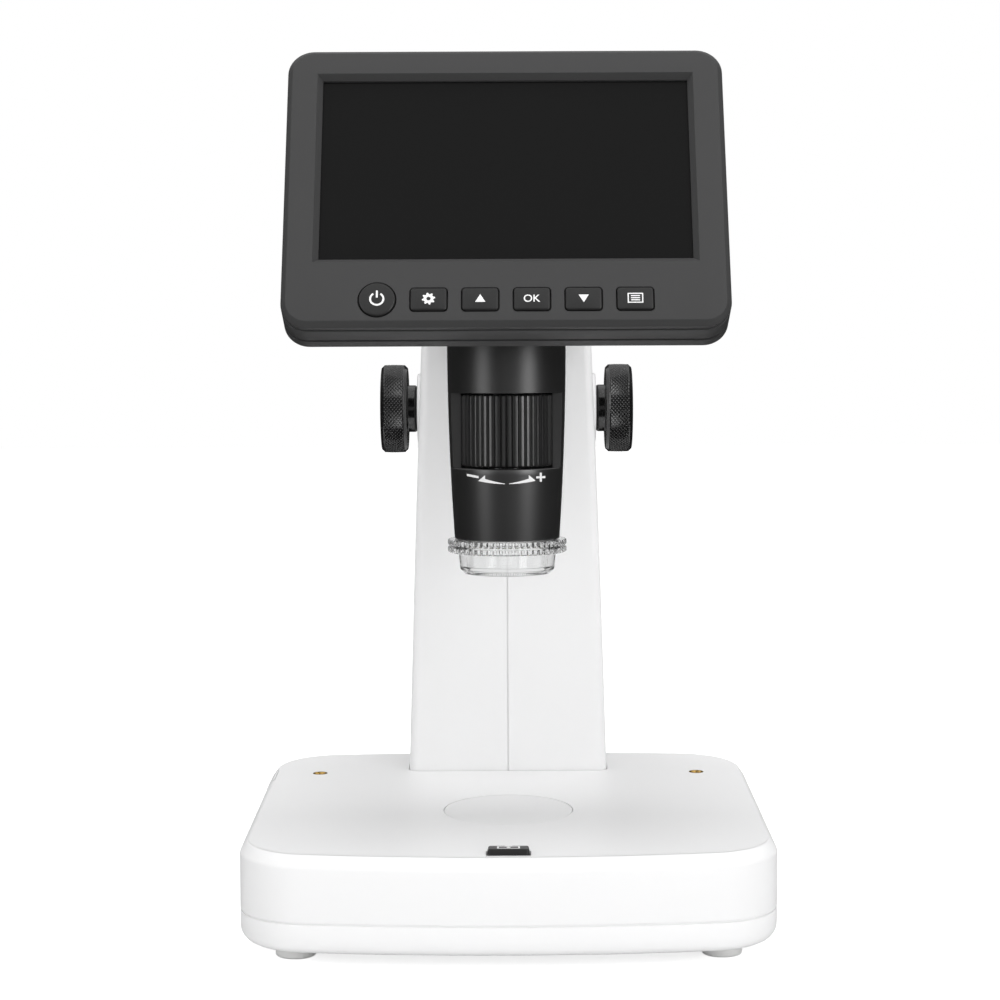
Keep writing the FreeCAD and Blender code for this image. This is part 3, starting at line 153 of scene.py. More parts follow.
# flat plate between a loop and its holes, cut into triangles and lifted into place
def plate(outer, holes, lift, extra=None):
    loops = [outer] + list(holes)
    flat = np.concatenate(loops + ([extra] if extra is not None else []))
    edges, start = [], 0
    for loop in loops:
        n = len(loop)
        edges += [(start + i, start + (i + 1) % n) for i in range(n)]
        start += n
    result = delaunay_2d_cdt([Vector(p) for p in flat], edges, [], 0, 1e-6)
    flat, triangles = np.array([tuple(p) for p in result[0]]), np.array(result[2])
    middles = flat[triangles].mean(axis=1)
    keep = insideLoop(middles, outer)
    for hole in holes:
        keep &= ~insideLoop(middles, hole)
    return lift(flat), triangles[keep].tolist()


# loops of equal length stacked in order, each given as flat points and a lift
def stack(loops):
    return surface(np.stack(loops))


# profile (radius, height) turned about a vertical axis; wave(turn, row) may add to the radius
def turned(profile, x, y, steps, wave=None):
    profile = np.asarray(profile, float)
    turn = np.arange(steps) * 2 * math.pi / steps
    radius = np.repeat(profile[:, 0][:, None], steps, axis=1)
    if wave is not None:
        radius = radius + wave(turn[None, :], profile)
    points = np.stack([
        x + radius * np.sin(turn), y - radius * np.cos(turn),
        np.repeat(profile[:, 1][:, None], steps, axis=1)], axis=-1)
    return surface(points)


# the same profile as (along, radius) about the crosswise line through (y, z)
def turnedAcross(profile, y, z, steps, wave=None):
    profile = np.asarray(profile, float)
    turn = np.arange(steps) * 2 * math.pi / steps
    radius = np.repeat(profile[:, 1][:, None], steps, axis=1)
    if wave is not None:
        radius = radius + wave(turn[None, :], profile)
    points = np.stack([
        np.repeat(profile[:, 0][:, None], steps, axis=1),
        y + radius * np.cos(turn), z + radius * np.sin(turn)], axis=-1)
    return surface(points)


# parts as one: points in a row, the faces of each counted on from where its points start
def joined(parts):
    points, faces, start = [], [], 0
    for part in parts:
        points.append(part[0])
        faces += [tuple(v + start for v in face) for face in part[1]]
        start += len(part[0])
    return np.concatenate(points), faces


# the part on the right, or its mirror image on the left
def onSide(part, sideSign):
    return part[0] * np.array([sideSign, 1, 1]), part[1]


# a new object in the scene
def linked(name, data):
    thing = bpy.data.objects.new(name, data)
    bpy.context.scene.collection.objects.link(thing)
    return thing


# mesh cleaned: corners nearer than distance merged, edges shorter than thin dissolved, open ends filled
# where asked, normals outwards
def clean(mesh, distance, thin=0, fill=True):
    bm = bmesh.new()
    bm.from_mesh(mesh)
    bmesh.ops.remove_doubles(bm, verts=bm.verts, dist=distance)
    if thin:
        bmesh.ops.dissolve_degenerate(bm, edges=bm.edges, dist=thin)
    if fill:
        bmesh.ops.holes_fill(bm, edges=bm.edges, sides=0)
    bmesh.ops.recalc_face_normals(bm, faces=bm.faces)
    bm.to_mesh(mesh)
    bm.free()


# mesh object from parts in millimetres, cleaned; fillEnds closes the holes of hidden ends
def makeMesh(name, parts, fillEnds=False):
    points, faces = joined(parts)
    mesh = bpy.data.meshes.new(name)
    mesh.from_pydata((points * mm).tolist(), [], faces)
    clean(mesh, 1e-6, 1e-7, fillEnds)
    return linked(name, mesh)


# smooth shading, with a sharp edge wherever two faces meet at more than the angle
def smooth(piece, degrees=32):
    piece.data.shade_smooth()
    piece.data.set_sharp_from_angle(angle=math.radians(degrees))


# cutters are taken out of the piece, or joined to it, and removed; close cleans the result
def cutOut(piece, cutters, operation="DIFFERENCE", close=False):
    for cutter in cutters:
        change = piece.modifiers.new("cut", "BOOLEAN")
        change.operation, change.solver, change.object = operation, "EXACT", cutter
    graph = bpy.context.evaluated_depsgraph_get()
    mesh = bpy.data.meshes.new_from_object(piece.evaluated_get(graph))
    piece.modifiers.clear()
    if close:
        clean(mesh, 2e-6)
    old, piece.data = piece.data, mesh
    mesh.name = piece.name
    bpy.data.meshes.remove(old)
    for cutter in cutters:
        bpy.data.objects.remove(cutter)


# hand a piece over: material, body that carries it, CAD nodes it stands for; the material slot name is not
# used
def finishPiece(piece, material, body, slotName, nodes=(), degrees=32):
    piece.data.materials.clear()
    piece.data.materials.append(material)
    smooth(piece, degrees)
    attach(piece, body)
    if nodes:
        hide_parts(*nodes)
    return piece


# a new piece of one mesh, handed over
def addPiece(name, parts, finishName, *rest):
    return finishPiece(makeMesh(name, parts), finishes[finishName], *rest)


# Finishes

# a node of one kind with its own settings, and its inputs set by name or number
def addNode(nodes, kind, inputs=(), **settings):
    node = nodes.new(kind)
    for key, value in settings.items():
        setattr(node, key, value)
    for key, value in dict(inputs).items():
        node.inputs[key].default_value = value
    return node


# links, each given as a node, its output, the next node and its input
def wire(links, *rows):
    for start, output, end, into in rows:
        links.new(start.outputs[output], end.inputs[into])


# one finish: two tints mixed by cloudy noise, roughness by a second noise, a fine grain as bump
def finish(name, tint, other, rough, cloud=20.0, grain=0.25, bump=0.02, metallic=0.0, specular=0.5,
           edge=0.0, ior=1.5, clear=0.0, rim=0.0):
    material = bpy.data.materials.new(name)
    material.use_nodes = True
    nodes, links = material.node_tree.nodes, material.node_tree.links
    shader = nodes["Principled BSDF"]
    values = {"Metallic": metallic, "Specular IOR Level": specular, "IOR": ior, "Transmission Weight": clear}
    for key, value in values.items():
        shader.inputs[key].default_value = value
    place = addNode(nodes, "ShaderNodeTexCoord")
    clouds = addNode(nodes, "ShaderNodeTexNoise", {"Scale": 1000 / cloud, "Detail": 3})
    speckle = addNode(nodes, "ShaderNodeTexNoise", {"Scale": 1000 / grain, "Detail": 2})
    tints = addNode(nodes, "ShaderNodeMix", {6: (*tint, 1), 7: (*other, 1)}, data_type="RGBA")
    spread = addNode(nodes, "ShaderNodeMapRange", {"To Min": rough[0], "To Max": rough[1]})
    relief = addNode(nodes, "ShaderNodeBump", {"Strength": 0.6, "Distance": bump * mm})
    wire(links, (place, "Object", clouds, "Vector"), (place, "Object", speckle, "Vector"),
         (clouds, "Fac", tints, 0), (tints, 2, shader, "Base Color"),
         (speckle, "Fac", spread, "Value"), (spread, "Result", shader, "Roughness"),
         (speckle, "Fac", relief, "Height"), (relief, "Normal", shader, "Normal"))
    if edge > 0:
        bevel = addNode(nodes, "ShaderNodeBevel", {"Radius": edge * mm}, samples=4)
        wire(links, (bevel, "Normal", relief, "Normal"))
    if rim > 0:  # painted shade: clear plastic is painted greyer where its surface turns away from the view
        facing = addNode(nodes, "ShaderNodeLayerWeight")
        share = addNode(nodes, "ShaderNodeMapRange", {"From Min": 0.38, "From Max": 0.5, "To Max": rim})
        paintedEdgeShade = addNode(nodes, "ShaderNodeMix", {7: (0.5, 0.5, 0.5, 1)}, data_type="RGBA")
        wire(links, (facing, "Facing", share, "Value"), (share, "Result", paintedEdgeShade, 0),
             (tints, 2, paintedEdgeShade, 6), (paintedEdgeShade, 2, shader, "Base Color"))
    return material


finishes = {
    "white": finish("shellWhite", (0.885, 0.885, 0.887), (0.872, 0.872, 0.875), (0.4, 0.5), cloud=45,
                    grain=0.5, bump=0.012, specular=0.3),
    "stage": finish("stageWhite", (0.86, 0.86, 0.862), (0.845, 0.845, 0.848), (0.42, 0.55), cloud=30,
                    grain=0.4, bump=0.015, specular=0.3),
    "foot": finish("footRubber", (0.9, 0.9, 0.89), (0.86, 0.86, 0.85), (0.6, 0.8), cloud=6, grain=0.3,
                   bump=0.03),
    "barrel": finish("barrelBlack", (0.007, 0.007, 0.0073), (0.009, 0.009, 0.0093), (0.34, 0.42), cloud=25,
                     grain=0.18, bump=0.004, specular=1.0, ior=1.8),
    "wheel": finish("wheelBlack", (0.007, 0.007, 0.007), (0.010, 0.010, 0.010), (0.26, 0.36), cloud=12,
                    grain=0.15, bump=0.004, specular=1.0, ior=1.8),
    "knob": finish("knobBlack", (0.006, 0.006, 0.0062), (0.004, 0.004, 0.0042), (0.14, 0.2), cloud=9,
                   grain=0.12, bump=0.003, specular=1.0, ior=1.55),
    "display": finish("displayBlack", (0.042, 0.042, 0.0424), (0.039, 0.039, 0.0394), (0.45, 0.55), cloud=40,
                      grain=0.16, bump=0.012, specular=0.4),
    "key": finish("keyBlack", (0.014, 0.014, 0.014), (0.018, 0.018, 0.018), (0.34, 0.45), cloud=6, grain=0.14,
                  bump=0.005),
    "screen": finish("screenGlass", (0.0065, 0.0065, 0.0065), (0.006, 0.006, 0.006), (0.16, 0.2), cloud=60,
                     grain=0.2, bump=0.0008, specular=0.12),
    "print": finish("whitePrint", (0.88, 0.88, 0.88), (0.84, 0.84, 0.84), (0.45, 0.55), cloud=3, grain=0.1,
                    bump=0.003),
    # clear plastic: rim sets how much grey shade is painted where the surface turns away from the view
    "clear": finish("clearPlastic", (0.985, 0.988, 0.988), (0.975, 0.978, 0.978), (0.0, 0.012), cloud=8,
                    grain=3.0, bump=0.0005, clear=1.0, ior=1.45, rim=0.85),
    "lens": finish("lensGlass", (0.9, 0.93, 0.98), (0.88, 0.9, 0.96), (0.01, 0.02), cloud=8, grain=0.6,
                   bump=0.0005, clear=1.0, ior=1.6),
    "steel": finish("screwSteel", (0.55, 0.55, 0.56), (0.45, 0.45, 0.46), (0.22, 0.36), cloud=3, grain=0.2,
                    bump=0.004, metallic=1.0, edge=0.1),
    "brass": finish("turnedBrass", (0.80, 0.56, 0.20), (0.70, 0.46, 0.15), (0.18, 0.3), cloud=2, grain=0.15,
                    bump=0.004, metallic=1.0, edge=0.08),
    "inner": finish("innerPlastic", (0.05, 0.05, 0.052), (0.065, 0.065, 0.066), (0.4, 0.55), cloud=10,
                    grain=0.3, bump=0.01, edge=0.2),
    "board": finish("boardGreen", (0.02, 0.12, 0.05), (0.03, 0.16, 0.07), (0.3, 0.42), cloud=3, grain=0.3,
                    bump=0.01),
    "light": finish("lampYellow", (0.85, 0.80, 0.42), (0.9, 0.86, 0.55), (0.3, 0.4), cloud=1.5, grain=0.2,
                    bump=0.01),
    "panel": finish("panelGrey", (0.3, 0.3, 0.31), (0.36, 0.36, 0.37), (0.25, 0.4), cloud=15, grain=0.3,
                    bump=0.004, metallic=0.8),
    "battery": finish("batteryWrap", (0.16, 0.2, 0.3), (0.13, 0.17, 0.26), (0.2, 0.35), cloud=14, grain=0.6,
                      bump=0.02),
}
print("finishes:", len(finishes))

# finish of each slot of the record, for the CAD nodes that are carried over
slotFinish = {
    "white_shell": "white", "stage_white": "stage", "rubber_white": "foot", "barrel_black": "barrel",
    "wheel_black": "wheel", "knob_black": "knob", "display_black": "display", "key_black": "key",
    "screen": "screen", "clear_plastic": "clear", "lens_glass": "lens", "steel": "steel", "brass": "brass",
    "inner_plastic": "inner", "circuit_board": "board", "light": "light", "panel": "panel",
    "battery": "battery",
}


# modifier for carried-over nodes: corners merged, then smooth but for edges over the angle
def softShading(degrees=30):
    group = bpy.data.node_groups.new("softShading", "GeometryNodeTree")
    group.interface.new_socket("Geometry", in_out="INPUT", socket_type="NodeSocketGeometry")
    group.interface.new_socket("Geometry", in_out="OUTPUT", socket_type="NodeSocketGeometry")
    nodes = group.nodes
    start, end = addNode(nodes, "NodeGroupInput"), addNode(nodes, "NodeGroupOutput")
    merge = addNode(nodes, "GeometryNodeMergeByDistance", {"Distance": 2e-6})
    angle = addNode(nodes, "GeometryNodeInputMeshEdgeAngle")
    within = addNode(nodes, "FunctionNodeCompare", {"B": math.radians(degrees)}, operation="LESS_EQUAL")
    faces = addNode(nodes, "GeometryNodeSetShadeSmooth")
    edges = addNode(nodes, "GeometryNodeSetShadeSmooth", domain="EDGE")
    wire(group.links, (start, 0, merge, "Geometry"), (merge, "Geometry", faces, "Geometry"),
         (faces, "Geometry", edges, "Geometry"), (angle, "Unsigned Angle", within, "A"),
         (within, "Result", edges, "Shade Smooth"), (edges, "Geometry", end, 0))
    return group


softGroup = softShading()
for part in frame["record"]["subparts"]:
    node = frame["nodes"][part["node"]]
    node.data.materials.clear()
    node.data.materials.append(finishes[slotFinish[part["material_slot"]]])
    node.modifiers.new("softShading", "NODES").node_group = softGroup


# Base

base = dict(
    halfWidth=74.0, reach=68.5, frontBow=7.0, backBow=4.0, corner=21.0, wall=2.5, foot=4.0, lowerRounding=4.5,
    parting=13.0, groove=0.5, stageHeight=33.0, axisY=-12.1, slope=2.1, bevelWidth=2.2, bevelHeight=3.1,
    stageRadius=18.5, stageGap=0.2, socketX=58.2, socketY=37.0, socketRadius=2.3, threadRadius=1.5,
    socketLength=6.0, shutterY=-61.9, shutterHalfX=5.8, shutterHalfY=2.4, keyGap=0.25,
    armHalf=31.0, armFront=39.1, armBack=65.3, armCorner=3.1, footX=58.5, footFrontY=-47.4, footBackY=50.0,
    footRadius=5.6, footDish=0.35, stageFlange=2.5, stageStep=2.5, stageDepth=3.7, threadDepth=0.18,
    shutterTop=1.6, shutterDraft=0.45, shutterFlange=0.7, shutterStep=1.7, shutterLow=2.7,
    signHalfX=3.05, signHalfY=1.2, signHump=1.2, signDisc=0.55, signTop=1.63,
    signRise=0.35, signSide=0.45, signFoot=0.4, signBrow=0.35,
    portPad=(-72.7, -68.3, 25.0, 43.8, 19.0, 33.0),  # x, y and z from and to, behind the port cover
    portNotch=(-76, -71.3, 27.75, 41.05, 22.0, 60), portMouth=(-71.6, -66, 29.9, 38.9, 26.3, 29.7),
    headRadius=2.5, headX=44, headFrontY=-42, headBackY=48,
)


# bowed outline: front and back arcs, corner circles and straight sides, all as anchors with normals,
# mirrored left to right
def baseOutline(s):
    half, corner = s["halfWidth"], s["corner"]
    frontR = (half ** 2 + s["frontBow"] ** 2) / (2 * s["frontBow"])
    backR = (half ** 2 + s["backBow"] ** 2) / (2 * s["backBow"])
    frontY, backY = frontR - s["reach"], s["reach"] - backR
    inner = half - corner
    cornerFront = frontY - math.sqrt((frontR - corner) ** 2 - inner ** 2)
    cornerBack = backY + math.sqrt((backR - corner) ** 2 - inner ** 2)
    a1, a2 = math.asin(inner / (frontR - corner)), math.pi - math.asin(inner / (backR - corner))
    front = np.linspace(0, a1, 21)[:-1]
    frontBend = np.linspace(a1, math.pi / 2, 17)
    side = np.linspace(0, 1, 13)[1:-1]
    backBend = np.linspace(math.pi / 2, a2, 17)
    back = np.linspace(a2, math.pi, 21)[1:]
    turn = np.concatenate([front, frontBend, side * 0 + math.pi / 2, backBend, back])
    runs = [len(run) for run in (front, frontBend, side, backBend, back)]
    ax = np.repeat([0, inner, inner, inner, 0], runs)
    ay = np.concatenate([front * 0 + frontY, frontBend * 0 + cornerFront,
                         cornerFront + (cornerBack - cornerFront) * side,
                         backBend * 0 + cornerBack, back * 0 + backY])
    radius = np.repeat([frontR, corner, corner, corner, backR], runs)
    flip = slice(-2, 0, -1)
    turn = np.concatenate([turn, -turn[flip]])
    anchors = np.stack([np.concatenate([ax, -ax[flip]]), np.concatenate([ay, ay[flip]])], axis=1)
    radius = np.concatenate([radius, radius[flip]])[:, None]
    return anchors, np.stack([np.sin(turn), -np.cos(turn)], axis=1), radius


# height of the sloping top: stage height plus distance behind the axis times the slope's tangent
def topHeight(y):
    return base["stageHeight"] + (y - base["axisY"]) * math.tan(math.radians(base["slope"]))


# points lifted to the sloping top, less drop
def onTop(drop):
    return lambda p: np.column_stack([p, topHeight(p[:, 1]) - drop])


# points lifted to one height
def atLevel(z):
    return lambda p: np.column_stack([p, np.full(len(p), z)])


# hole wall: the same loop between two lifts
def holeWall(loop, liftA, liftB):
    return stack([liftA(loop), liftB(loop)])


baseLoop = baseOutline(base)


# upper half: side wall from the parting line, bevel onto the sloping top, plates with their holes
def baseTop(s):
    bevel = softened([(0, -9), (0, -s["bevelHeight"]), (s["bevelWidth"], 0), (9, 0)], [2.2, 1.4], 6)[1:-1]
    bevel = bevel[bevel[:, 0] < s["bevelWidth"] + 0.5]
    rows = []
    low = softened([(1.2, s["parting"]), (0, s["parting"]), (0, 20)], [0.35], 4)
    rows.append(atLevel(s["parting"])(insetLoop(baseLoop, s["wall"])))
    for inset, z in low[:-1]:
        rows.append(atLevel(z)(insetLoop(baseLoop, inset)))
    for inset, drop in bevel:
        rows.append(onTop(-drop)(insetLoop(baseLoop, inset)))
    rim = insetLoop(baseLoop, bevel[-1][0])
    inner = insetLoop(baseLoop, s["wall"])
    arm = insetLoop(roundedRect(s["armHalf"], s["armFront"], s["armBack"], s["armCorner"], 6, 8), 0)
    halfX, halfY = s["shutterHalfX"] + s["keyGap"], s["shutterHalfY"] + s["keyGap"]
    button = insetLoop(roundedRect(halfX, s["shutterY"] - halfY, s["shutterY"] + halfY, 0.5, 4, 6), 0)
    holes = [arm, circle(0, s["axisY"], s["stageRadius"] + s["stageGap"], 96), button]
    holes += [circle(side * s["socketX"], s["socketY"], s["socketRadius"], 32) for side in (-1, 1)]
    parts = [stack(rows), plate(rim, holes, onTop(0)), plate(inner, holes, onTop(s["wall"]))]
    parts.append(stack([onTop(s["wall"])(inner), atLevel(s["parting"])(inner)]))
    parts += [holeWall(loop, onTop(0), onTop(s["wall"])) for loop in holes]
    return parts


# box with softened edges as a stack of inset loops
def softBlock(x0, x1, y0, y1, z0, z1, radius=0.3, steps=3):
    halfX, midX = (x1 - x0) / 2, (x0 + x1) / 2
    outline = roundedRect(halfX, y0, y1, min(radius * 1.5, halfX, (y1 - y0) / 2) * 0.99, 5, 3)
    rounding = np.linspace(0, math.pi / 2, steps + 1)
    inset = radius * (1 - np.sin(rounding))
    lift = radius * (1 - np.cos(rounding))
    shift = np.array([midX, 0])
    rows = [atLevel(z0 + up)(insetLoop(outline, i) + shift) for i, up in zip(inset, lift)]
    rows += [atLevel(z1 - up)(insetLoop(outline, i) + shift) for i, up in zip(inset[::-1], lift[::-1])]
    bottom = insetLoop(outline, inset[0]) + shift
    return [stack(rows), plate(bottom, [], atLevel(z0)), plate(bottom, [], atLevel(z1))]


piece = makeMesh("baseTop", baseTop(base))
portPad = makeMesh("portPad", softBlock(*base["portPad"], 0.2))
cutOut(piece, [portPad], "UNION")
portNotch = makeMesh("portNotch", softBlock(*base["portNotch"], 0.05))
portMouth = makeMesh("portMouth", softBlock(*base["portMouth"], 0.05))
cutOut(piece, [portNotch, portMouth])
finishPiece(piece, finishes["white"], "stand", "white_shell", ["base_top_shell"])


# lower half: floor rounding up to the groove under the parting line, and the inside of the tray
def baseBottom(s):
    r = s["lowerRounding"]
    bend = np.linspace(0, math.pi / 2, 9)
    rows = [atLevel(s["foot"] + r * (1 - math.cos(a)))(insetLoop(baseLoop, r * (1 - math.sin(a))))
            for a in bend]
    grooveTop = softened([(0, 9), (0, s["parting"] - s["groove"]), (s["groove"], s["parting"] - s["groove"]),
                          (s["groove"], s["parting"])], [0.3, 0.1], 3)[1:]
    rows += [atLevel(z)(insetLoop(baseLoop, i)) for i, z in grooveTop]
    rows.append(atLevel(s["parting"])(insetLoop(baseLoop, s["wall"])))
    rows.append(atLevel(s["foot"] + s["wall"])(insetLoop(baseLoop, s["wall"])))
    outer, inner = insetLoop(baseLoop, r), insetLoop(baseLoop, s["wall"])
    heads = [circle(x, y, s["headRadius"], 24) for x in (-s["headX"], s["headX"])
             for y in (s["headFrontY"], s["headBackY"])]
    parts = [stack(rows), plate(outer, heads, atLevel(s["foot"])),
             plate(inner, heads, atLevel(s["foot"] + s["wall"]))]
    parts += [holeWall(loop, atLevel(s["foot"]), atLevel(s["foot"] + s["wall"])) for loop in heads]
    return parts


addPiece("baseBottom", baseBottom(base), "white", "stand", "white_shell", ["base_bottom_cover"])


# foot: turned pad with a rounded lower edge and a shallow dish under it
def footPads(s):
    r = s["footRadius"]
    profile = softened([(0, s["footDish"]), (r - 1.9, s["footDish"]), (r - 1.5, 0), (r, 0), (r, s["foot"]),
                        (0, s["foot"])], [0.3, 0.3, 0.8, 0.05], 5)
    spots = [(x, y) for x in (-s["footX"], s["footX"]) for y in (s["footFrontY"], s["footBackY"])]
    return [turned(profile, x, y, 64) for x, y in spots]


addPiece("feetPads", footPads(base), "foot", "stand", "rubber_white", ["rubber_feet"])


# parts drawn level at the origin, then set square on the sloping top at (x, y)
def seated(part, x, y):
    a = math.radians(base["slope"])
    turn = np.array([[1, 0, 0], [0, math.cos(a), -math.sin(a)], [0, math.sin(a), math.cos(a)]])
    return part[0] @ turn.T + np.array([x, y, topHeight(y)]), part[1]


# disc: a flat top with a rounded rim and a wider flange under it, turned about the optical axis
def stageDisc(s):
    r, step, low = s["stageRadius"], -s["stageStep"], -s["stageDepth"]
    flange = r + s["stageFlange"]
    profile = softened([(0, 0), (r, 0), (r, step), (flange, step), (flange, low), (0, low)],
                       [0.3, 0.05, 0.1, 0.1], 4)
    return [seated(turned(profile, 0, 0, 128), 0, s["axisY"])]


addPiece("stageDisc", stageDisc(base), "stage", "stand", "stage_white", ["stage_disc"])


# insert: collar with a bevelled mouth and a ridged bore, ridges as a zigzag in the profile
def insertRings(s):
    outer, bore, length = s["socketRadius"] - 0.02, s["threadRadius"], s["socketLength"]
    z = np.arange(0, 10.5, 0.5)
    ridge = np.column_stack([bore - s["threadDepth"] * (np.arange(len(z)) % 2), -0.5 - z * 0.5])
    collar = softened([(outer, -length), (outer, 0), (bore + 0.35, 0), (bore, -0.4)], [0.12, 0.1], 3)
    profile = np.concatenate([collar, ridge, [[bore, -length], [outer, -length]]])
    return [seated(turned(profile, 0, 0, 48), side * s["socketX"], s["socketY"]) for side in (-1, 1)]


addPiece("insertRings", insertRings(base), "brass", "stand", "brass", ["brass_inserts"], 20)


# button: rounded rectangle that narrows to its soft top, over a flange
def shutterButton(s):
    outline = roundedRect(s["shutterHalfX"], -s["shutterHalfY"], s["shutterHalfY"], 1.0, 6, 8)
    flange, step, low, top = -s["shutterFlange"], -s["shutterStep"], -s["shutterLow"], s["shutterTop"]
    profile = softened([(flange, low), (flange, step), (0, step), (0, 0), (s["shutterDraft"], top),
                        (1.4, top)], [0.05, 0.05, 0, 0.35], 4)[:-1]
    rows = [atLevel(z)(insetLoop(outline, i)) for i, z in profile]
    top = insetLoop(outline, profile[-1][0])
    bottom = insetLoop(outline, profile[0][0])
    parts = [stack(rows), plate(top, [], atLevel(profile[-1][1])), plate(bottom, [], atLevel(profile[0][1]))]
    return [seated(part, 0, s["shutterY"]) for part in parts]


addPiece("shutterCap", shutterButton(base), "key", "shutter", "key_black", ["shutter_button"])


# small camera sign on the button: a frame with a hump, and a disc in it
def shutterMark(s):
    w, d, h = s["signHalfX"], s["signHalfY"], s["signHump"]
    hump = d + s["signRise"]
    frame = np.array([(-w, -d), (w, -d), (w, d), (h, d), (h * 0.7, hump), (-h * 0.7, hump), (-h, d), (-w, d)])
    innerW, innerLow, innerHigh = w - s["signSide"], -d + s["signFoot"], d - s["signBrow"]
    hole = np.array([(-innerW, innerLow), (innerW, innerLow), (innerW, innerHigh), (-innerW, innerHigh)])
    top, low = atLevel(s["signTop"]), atLevel(s["signTop"] - 0.1)
    parts = []
    for outer, holes in ((frame, [hole]), (circle(0, 0, s["signDisc"], 32), [])):
        parts += [plate(outer, holes, top), plate(outer, holes, low)]
        parts += [holeWall(loop, top, low) for loop in [outer] + holes]
    return [seated(part, 0, s["shutterY"]) for part in parts]


addPiece("shutterSign", shutterMark(base), "print", "shutter", "key_black")
print("base: done")


# Arm

arm = dict(
    front=39.4, depth=25.6, root=30.7, middle=28.5, top=24.2, rootZ=35.0, middleZ=104.0, topZ=214.0,
    footZ=6.5, wall=2.5, edge=2.8, shoulder=9.0, seam=0.175, seamDepth=0.4,
    slotHalf=14.6, slotLow=121.4, slotHigh=200.6, slotFrontY=38, slotBackY=43,
    bossRadius=11.0, bossFace=27.75, bossSink=0.3, bushing=4.5, knobY=53.9, knobZ=147.0,
    tieY=59.0, tieHeights=(60.0, 112.0, 180.0), lowTieY=45.9, pocketRadius=2.6, pocketDepth=2.4, bore=7.0,
)


# centre and radius of the circle through three points: where their perpendicular bisectors meet
def circleThrough(p, q, r):
    (ax, ay), (bx, by), (cx, cy) = p, q, r
    a, b, c = ax * ax + ay * ay, bx * bx + by * by, cx * cx + cy * cy
    d = 2 * (ax * (by - cy) + bx * (cy - ay) + cx * (ay - by))
    ux = (a * (by - cy) + b * (cy - ay) + c * (ay - by)) / d
    uy = (a * (cx - bx) + b * (ax - cx) + c * (bx - ax)) / d
    return ux, uy, math.hypot(ax - ux, ay - uy)


# half-width at a height: straight up to rootZ, then the circle through root, middle and top
def armWidth(z, s=arm):
    x, y, radius = circleThrough((s["root"], s["rootZ"]), (s["middle"], s["middleZ"]), (s["top"], s["topZ"]))
    side = -1 if x > 0 else 1
    curve = x + side * np.sqrt(radius ** 2 - (np.maximum(z, s["rootZ"]) - y) ** 2)
    return np.where(z < s["rootZ"], s["root"], curve)


# right half: rings round the wall's section, one for each step along the silhouette from foot to crown
def armHalf(s):
    z = np.concatenate([[s["footZ"]], np.linspace(s["rootZ"], s["topZ"], 40)])
    side = np.column_stack([armWidth(z), z])
    # shoulder arc between the side and the crown: tangent to both, its radius is the shoulder's
    corner, before, radius = side[-1], side[-12], s["shoulder"]
    a = (before - corner) / np.linalg.norm(before - corner)
    b = np.array([-1.0, 0.0])
    half = math.acos(float(a @ b)) / 2
    reach = radius / math.tan(half)
    arc = cornerArc(corner, a, b, reach, half, 12)
    side = side[side[:, 1] < (corner + a * reach)[1] - 1]
    crown = np.column_stack([np.linspace(arc[-1, 0], 0, 8)[1:], np.full(7, s["topZ"])])
    path = np.concatenate([side, arc, crown])
    along = np.gradient(path, axis=0)
    along /= np.linalg.norm(along, axis=1)[:, None]
    inward = np.stack([-along[:, 1], along[:, 0]], axis=1)
    inward[0], inward[1] = (-1, 0), inward[2]
    inward[-7:] = (0, -1)
    front, back, edge, wall = s["front"], s["front"] + s["depth"], s["edge"], s["wall"]
    turn = np.linspace(0, math.pi / 2, 8)
    rim = [(edge * (1 - math.sin(a)), front + edge * (1 - math.cos(a))) for a in turn]
    rim += [(edge * (1 - math.cos(a)), back - edge * (1 - math.sin(a))) for a in turn]
    rings = []
    seamX, mid = s["seam"], 1e-3

    def middleLine(x, y, inset):
        height = np.minimum(path[:, 1], s["topZ"] - inset)
        return np.column_stack([np.minimum(x, np.maximum(path[:, 0], 0)), np.full(len(path), y), height])

    def shiftedLine(inset, y):
        p = path + inward * inset
        height = np.minimum(p[:, 1], s["topZ"] - inset)
        return np.column_stack([np.maximum(p[:, 0], 0), np.full(len(path), y), height])

    rings.append(middleLine(mid, front + wall, wall))
    rings.append(middleLine(mid, front + s["seamDepth"], s["seamDepth"]))
    rings.append(middleLine(seamX, front + s["seamDepth"], s["seamDepth"]))
    rings.append(middleLine(seamX, front, edge))
    rings += [shiftedLine(inset, y) for inset, y in rim]
    rings.append(middleLine(seamX, back, edge))
    rings.append(middleLine(seamX, back - s["seamDepth"], s["seamDepth"]))
    rings.append(middleLine(mid, back - s["seamDepth"], s["seamDepth"]))
    rings.append(middleLine(mid, back - wall, wall))
    rings.append(shiftedLine(wall, back - wall))
    rings.append(shiftedLine(wall, front + wall))
    return surface(np.stack(rings, axis=1))


# ring round the shaft: a rectangle from inside the wall out to bossFace, turned about the shaft
def knobBoss(s):
    inner = float(armWidth(np.array([s["knobZ"]]))[0]) - s["wall"] - s["bossSink"]
    profile = softened([(inner, s["bushing"]), (inner, s["bossRadius"]), (s["bossFace"], s["bossRadius"]),
                        (s["bossFace"], s["bushing"]), (inner, s["bushing"])], [0, 0.55, 0.15], 4)
    return turnedAcross(profile, s["knobY"], s["knobZ"], 96)


# cutters for the pockets of the tie screws' heads, sunk by pocketDepth from the left side
def screwPockets(s):
    cutters = []
    for y, z in [(s["tieY"], z) for z in s["tieHeights"]] + [(s["lowTieY"], s["tieHeights"][0])]:
        end = s["pocketDepth"] - float(armWidth(np.array([z]))[0])
        corners = [(-40, 0), (-40, s["pocketRadius"]), (end, s["pocketRadius"]), (end, 0)]
        profile = softened(corners, [0, 0.2], 3)
        cutters.append(makeMesh("screwPocket", [turnedAcross(profile, y, z, 40)]))
    return cutters


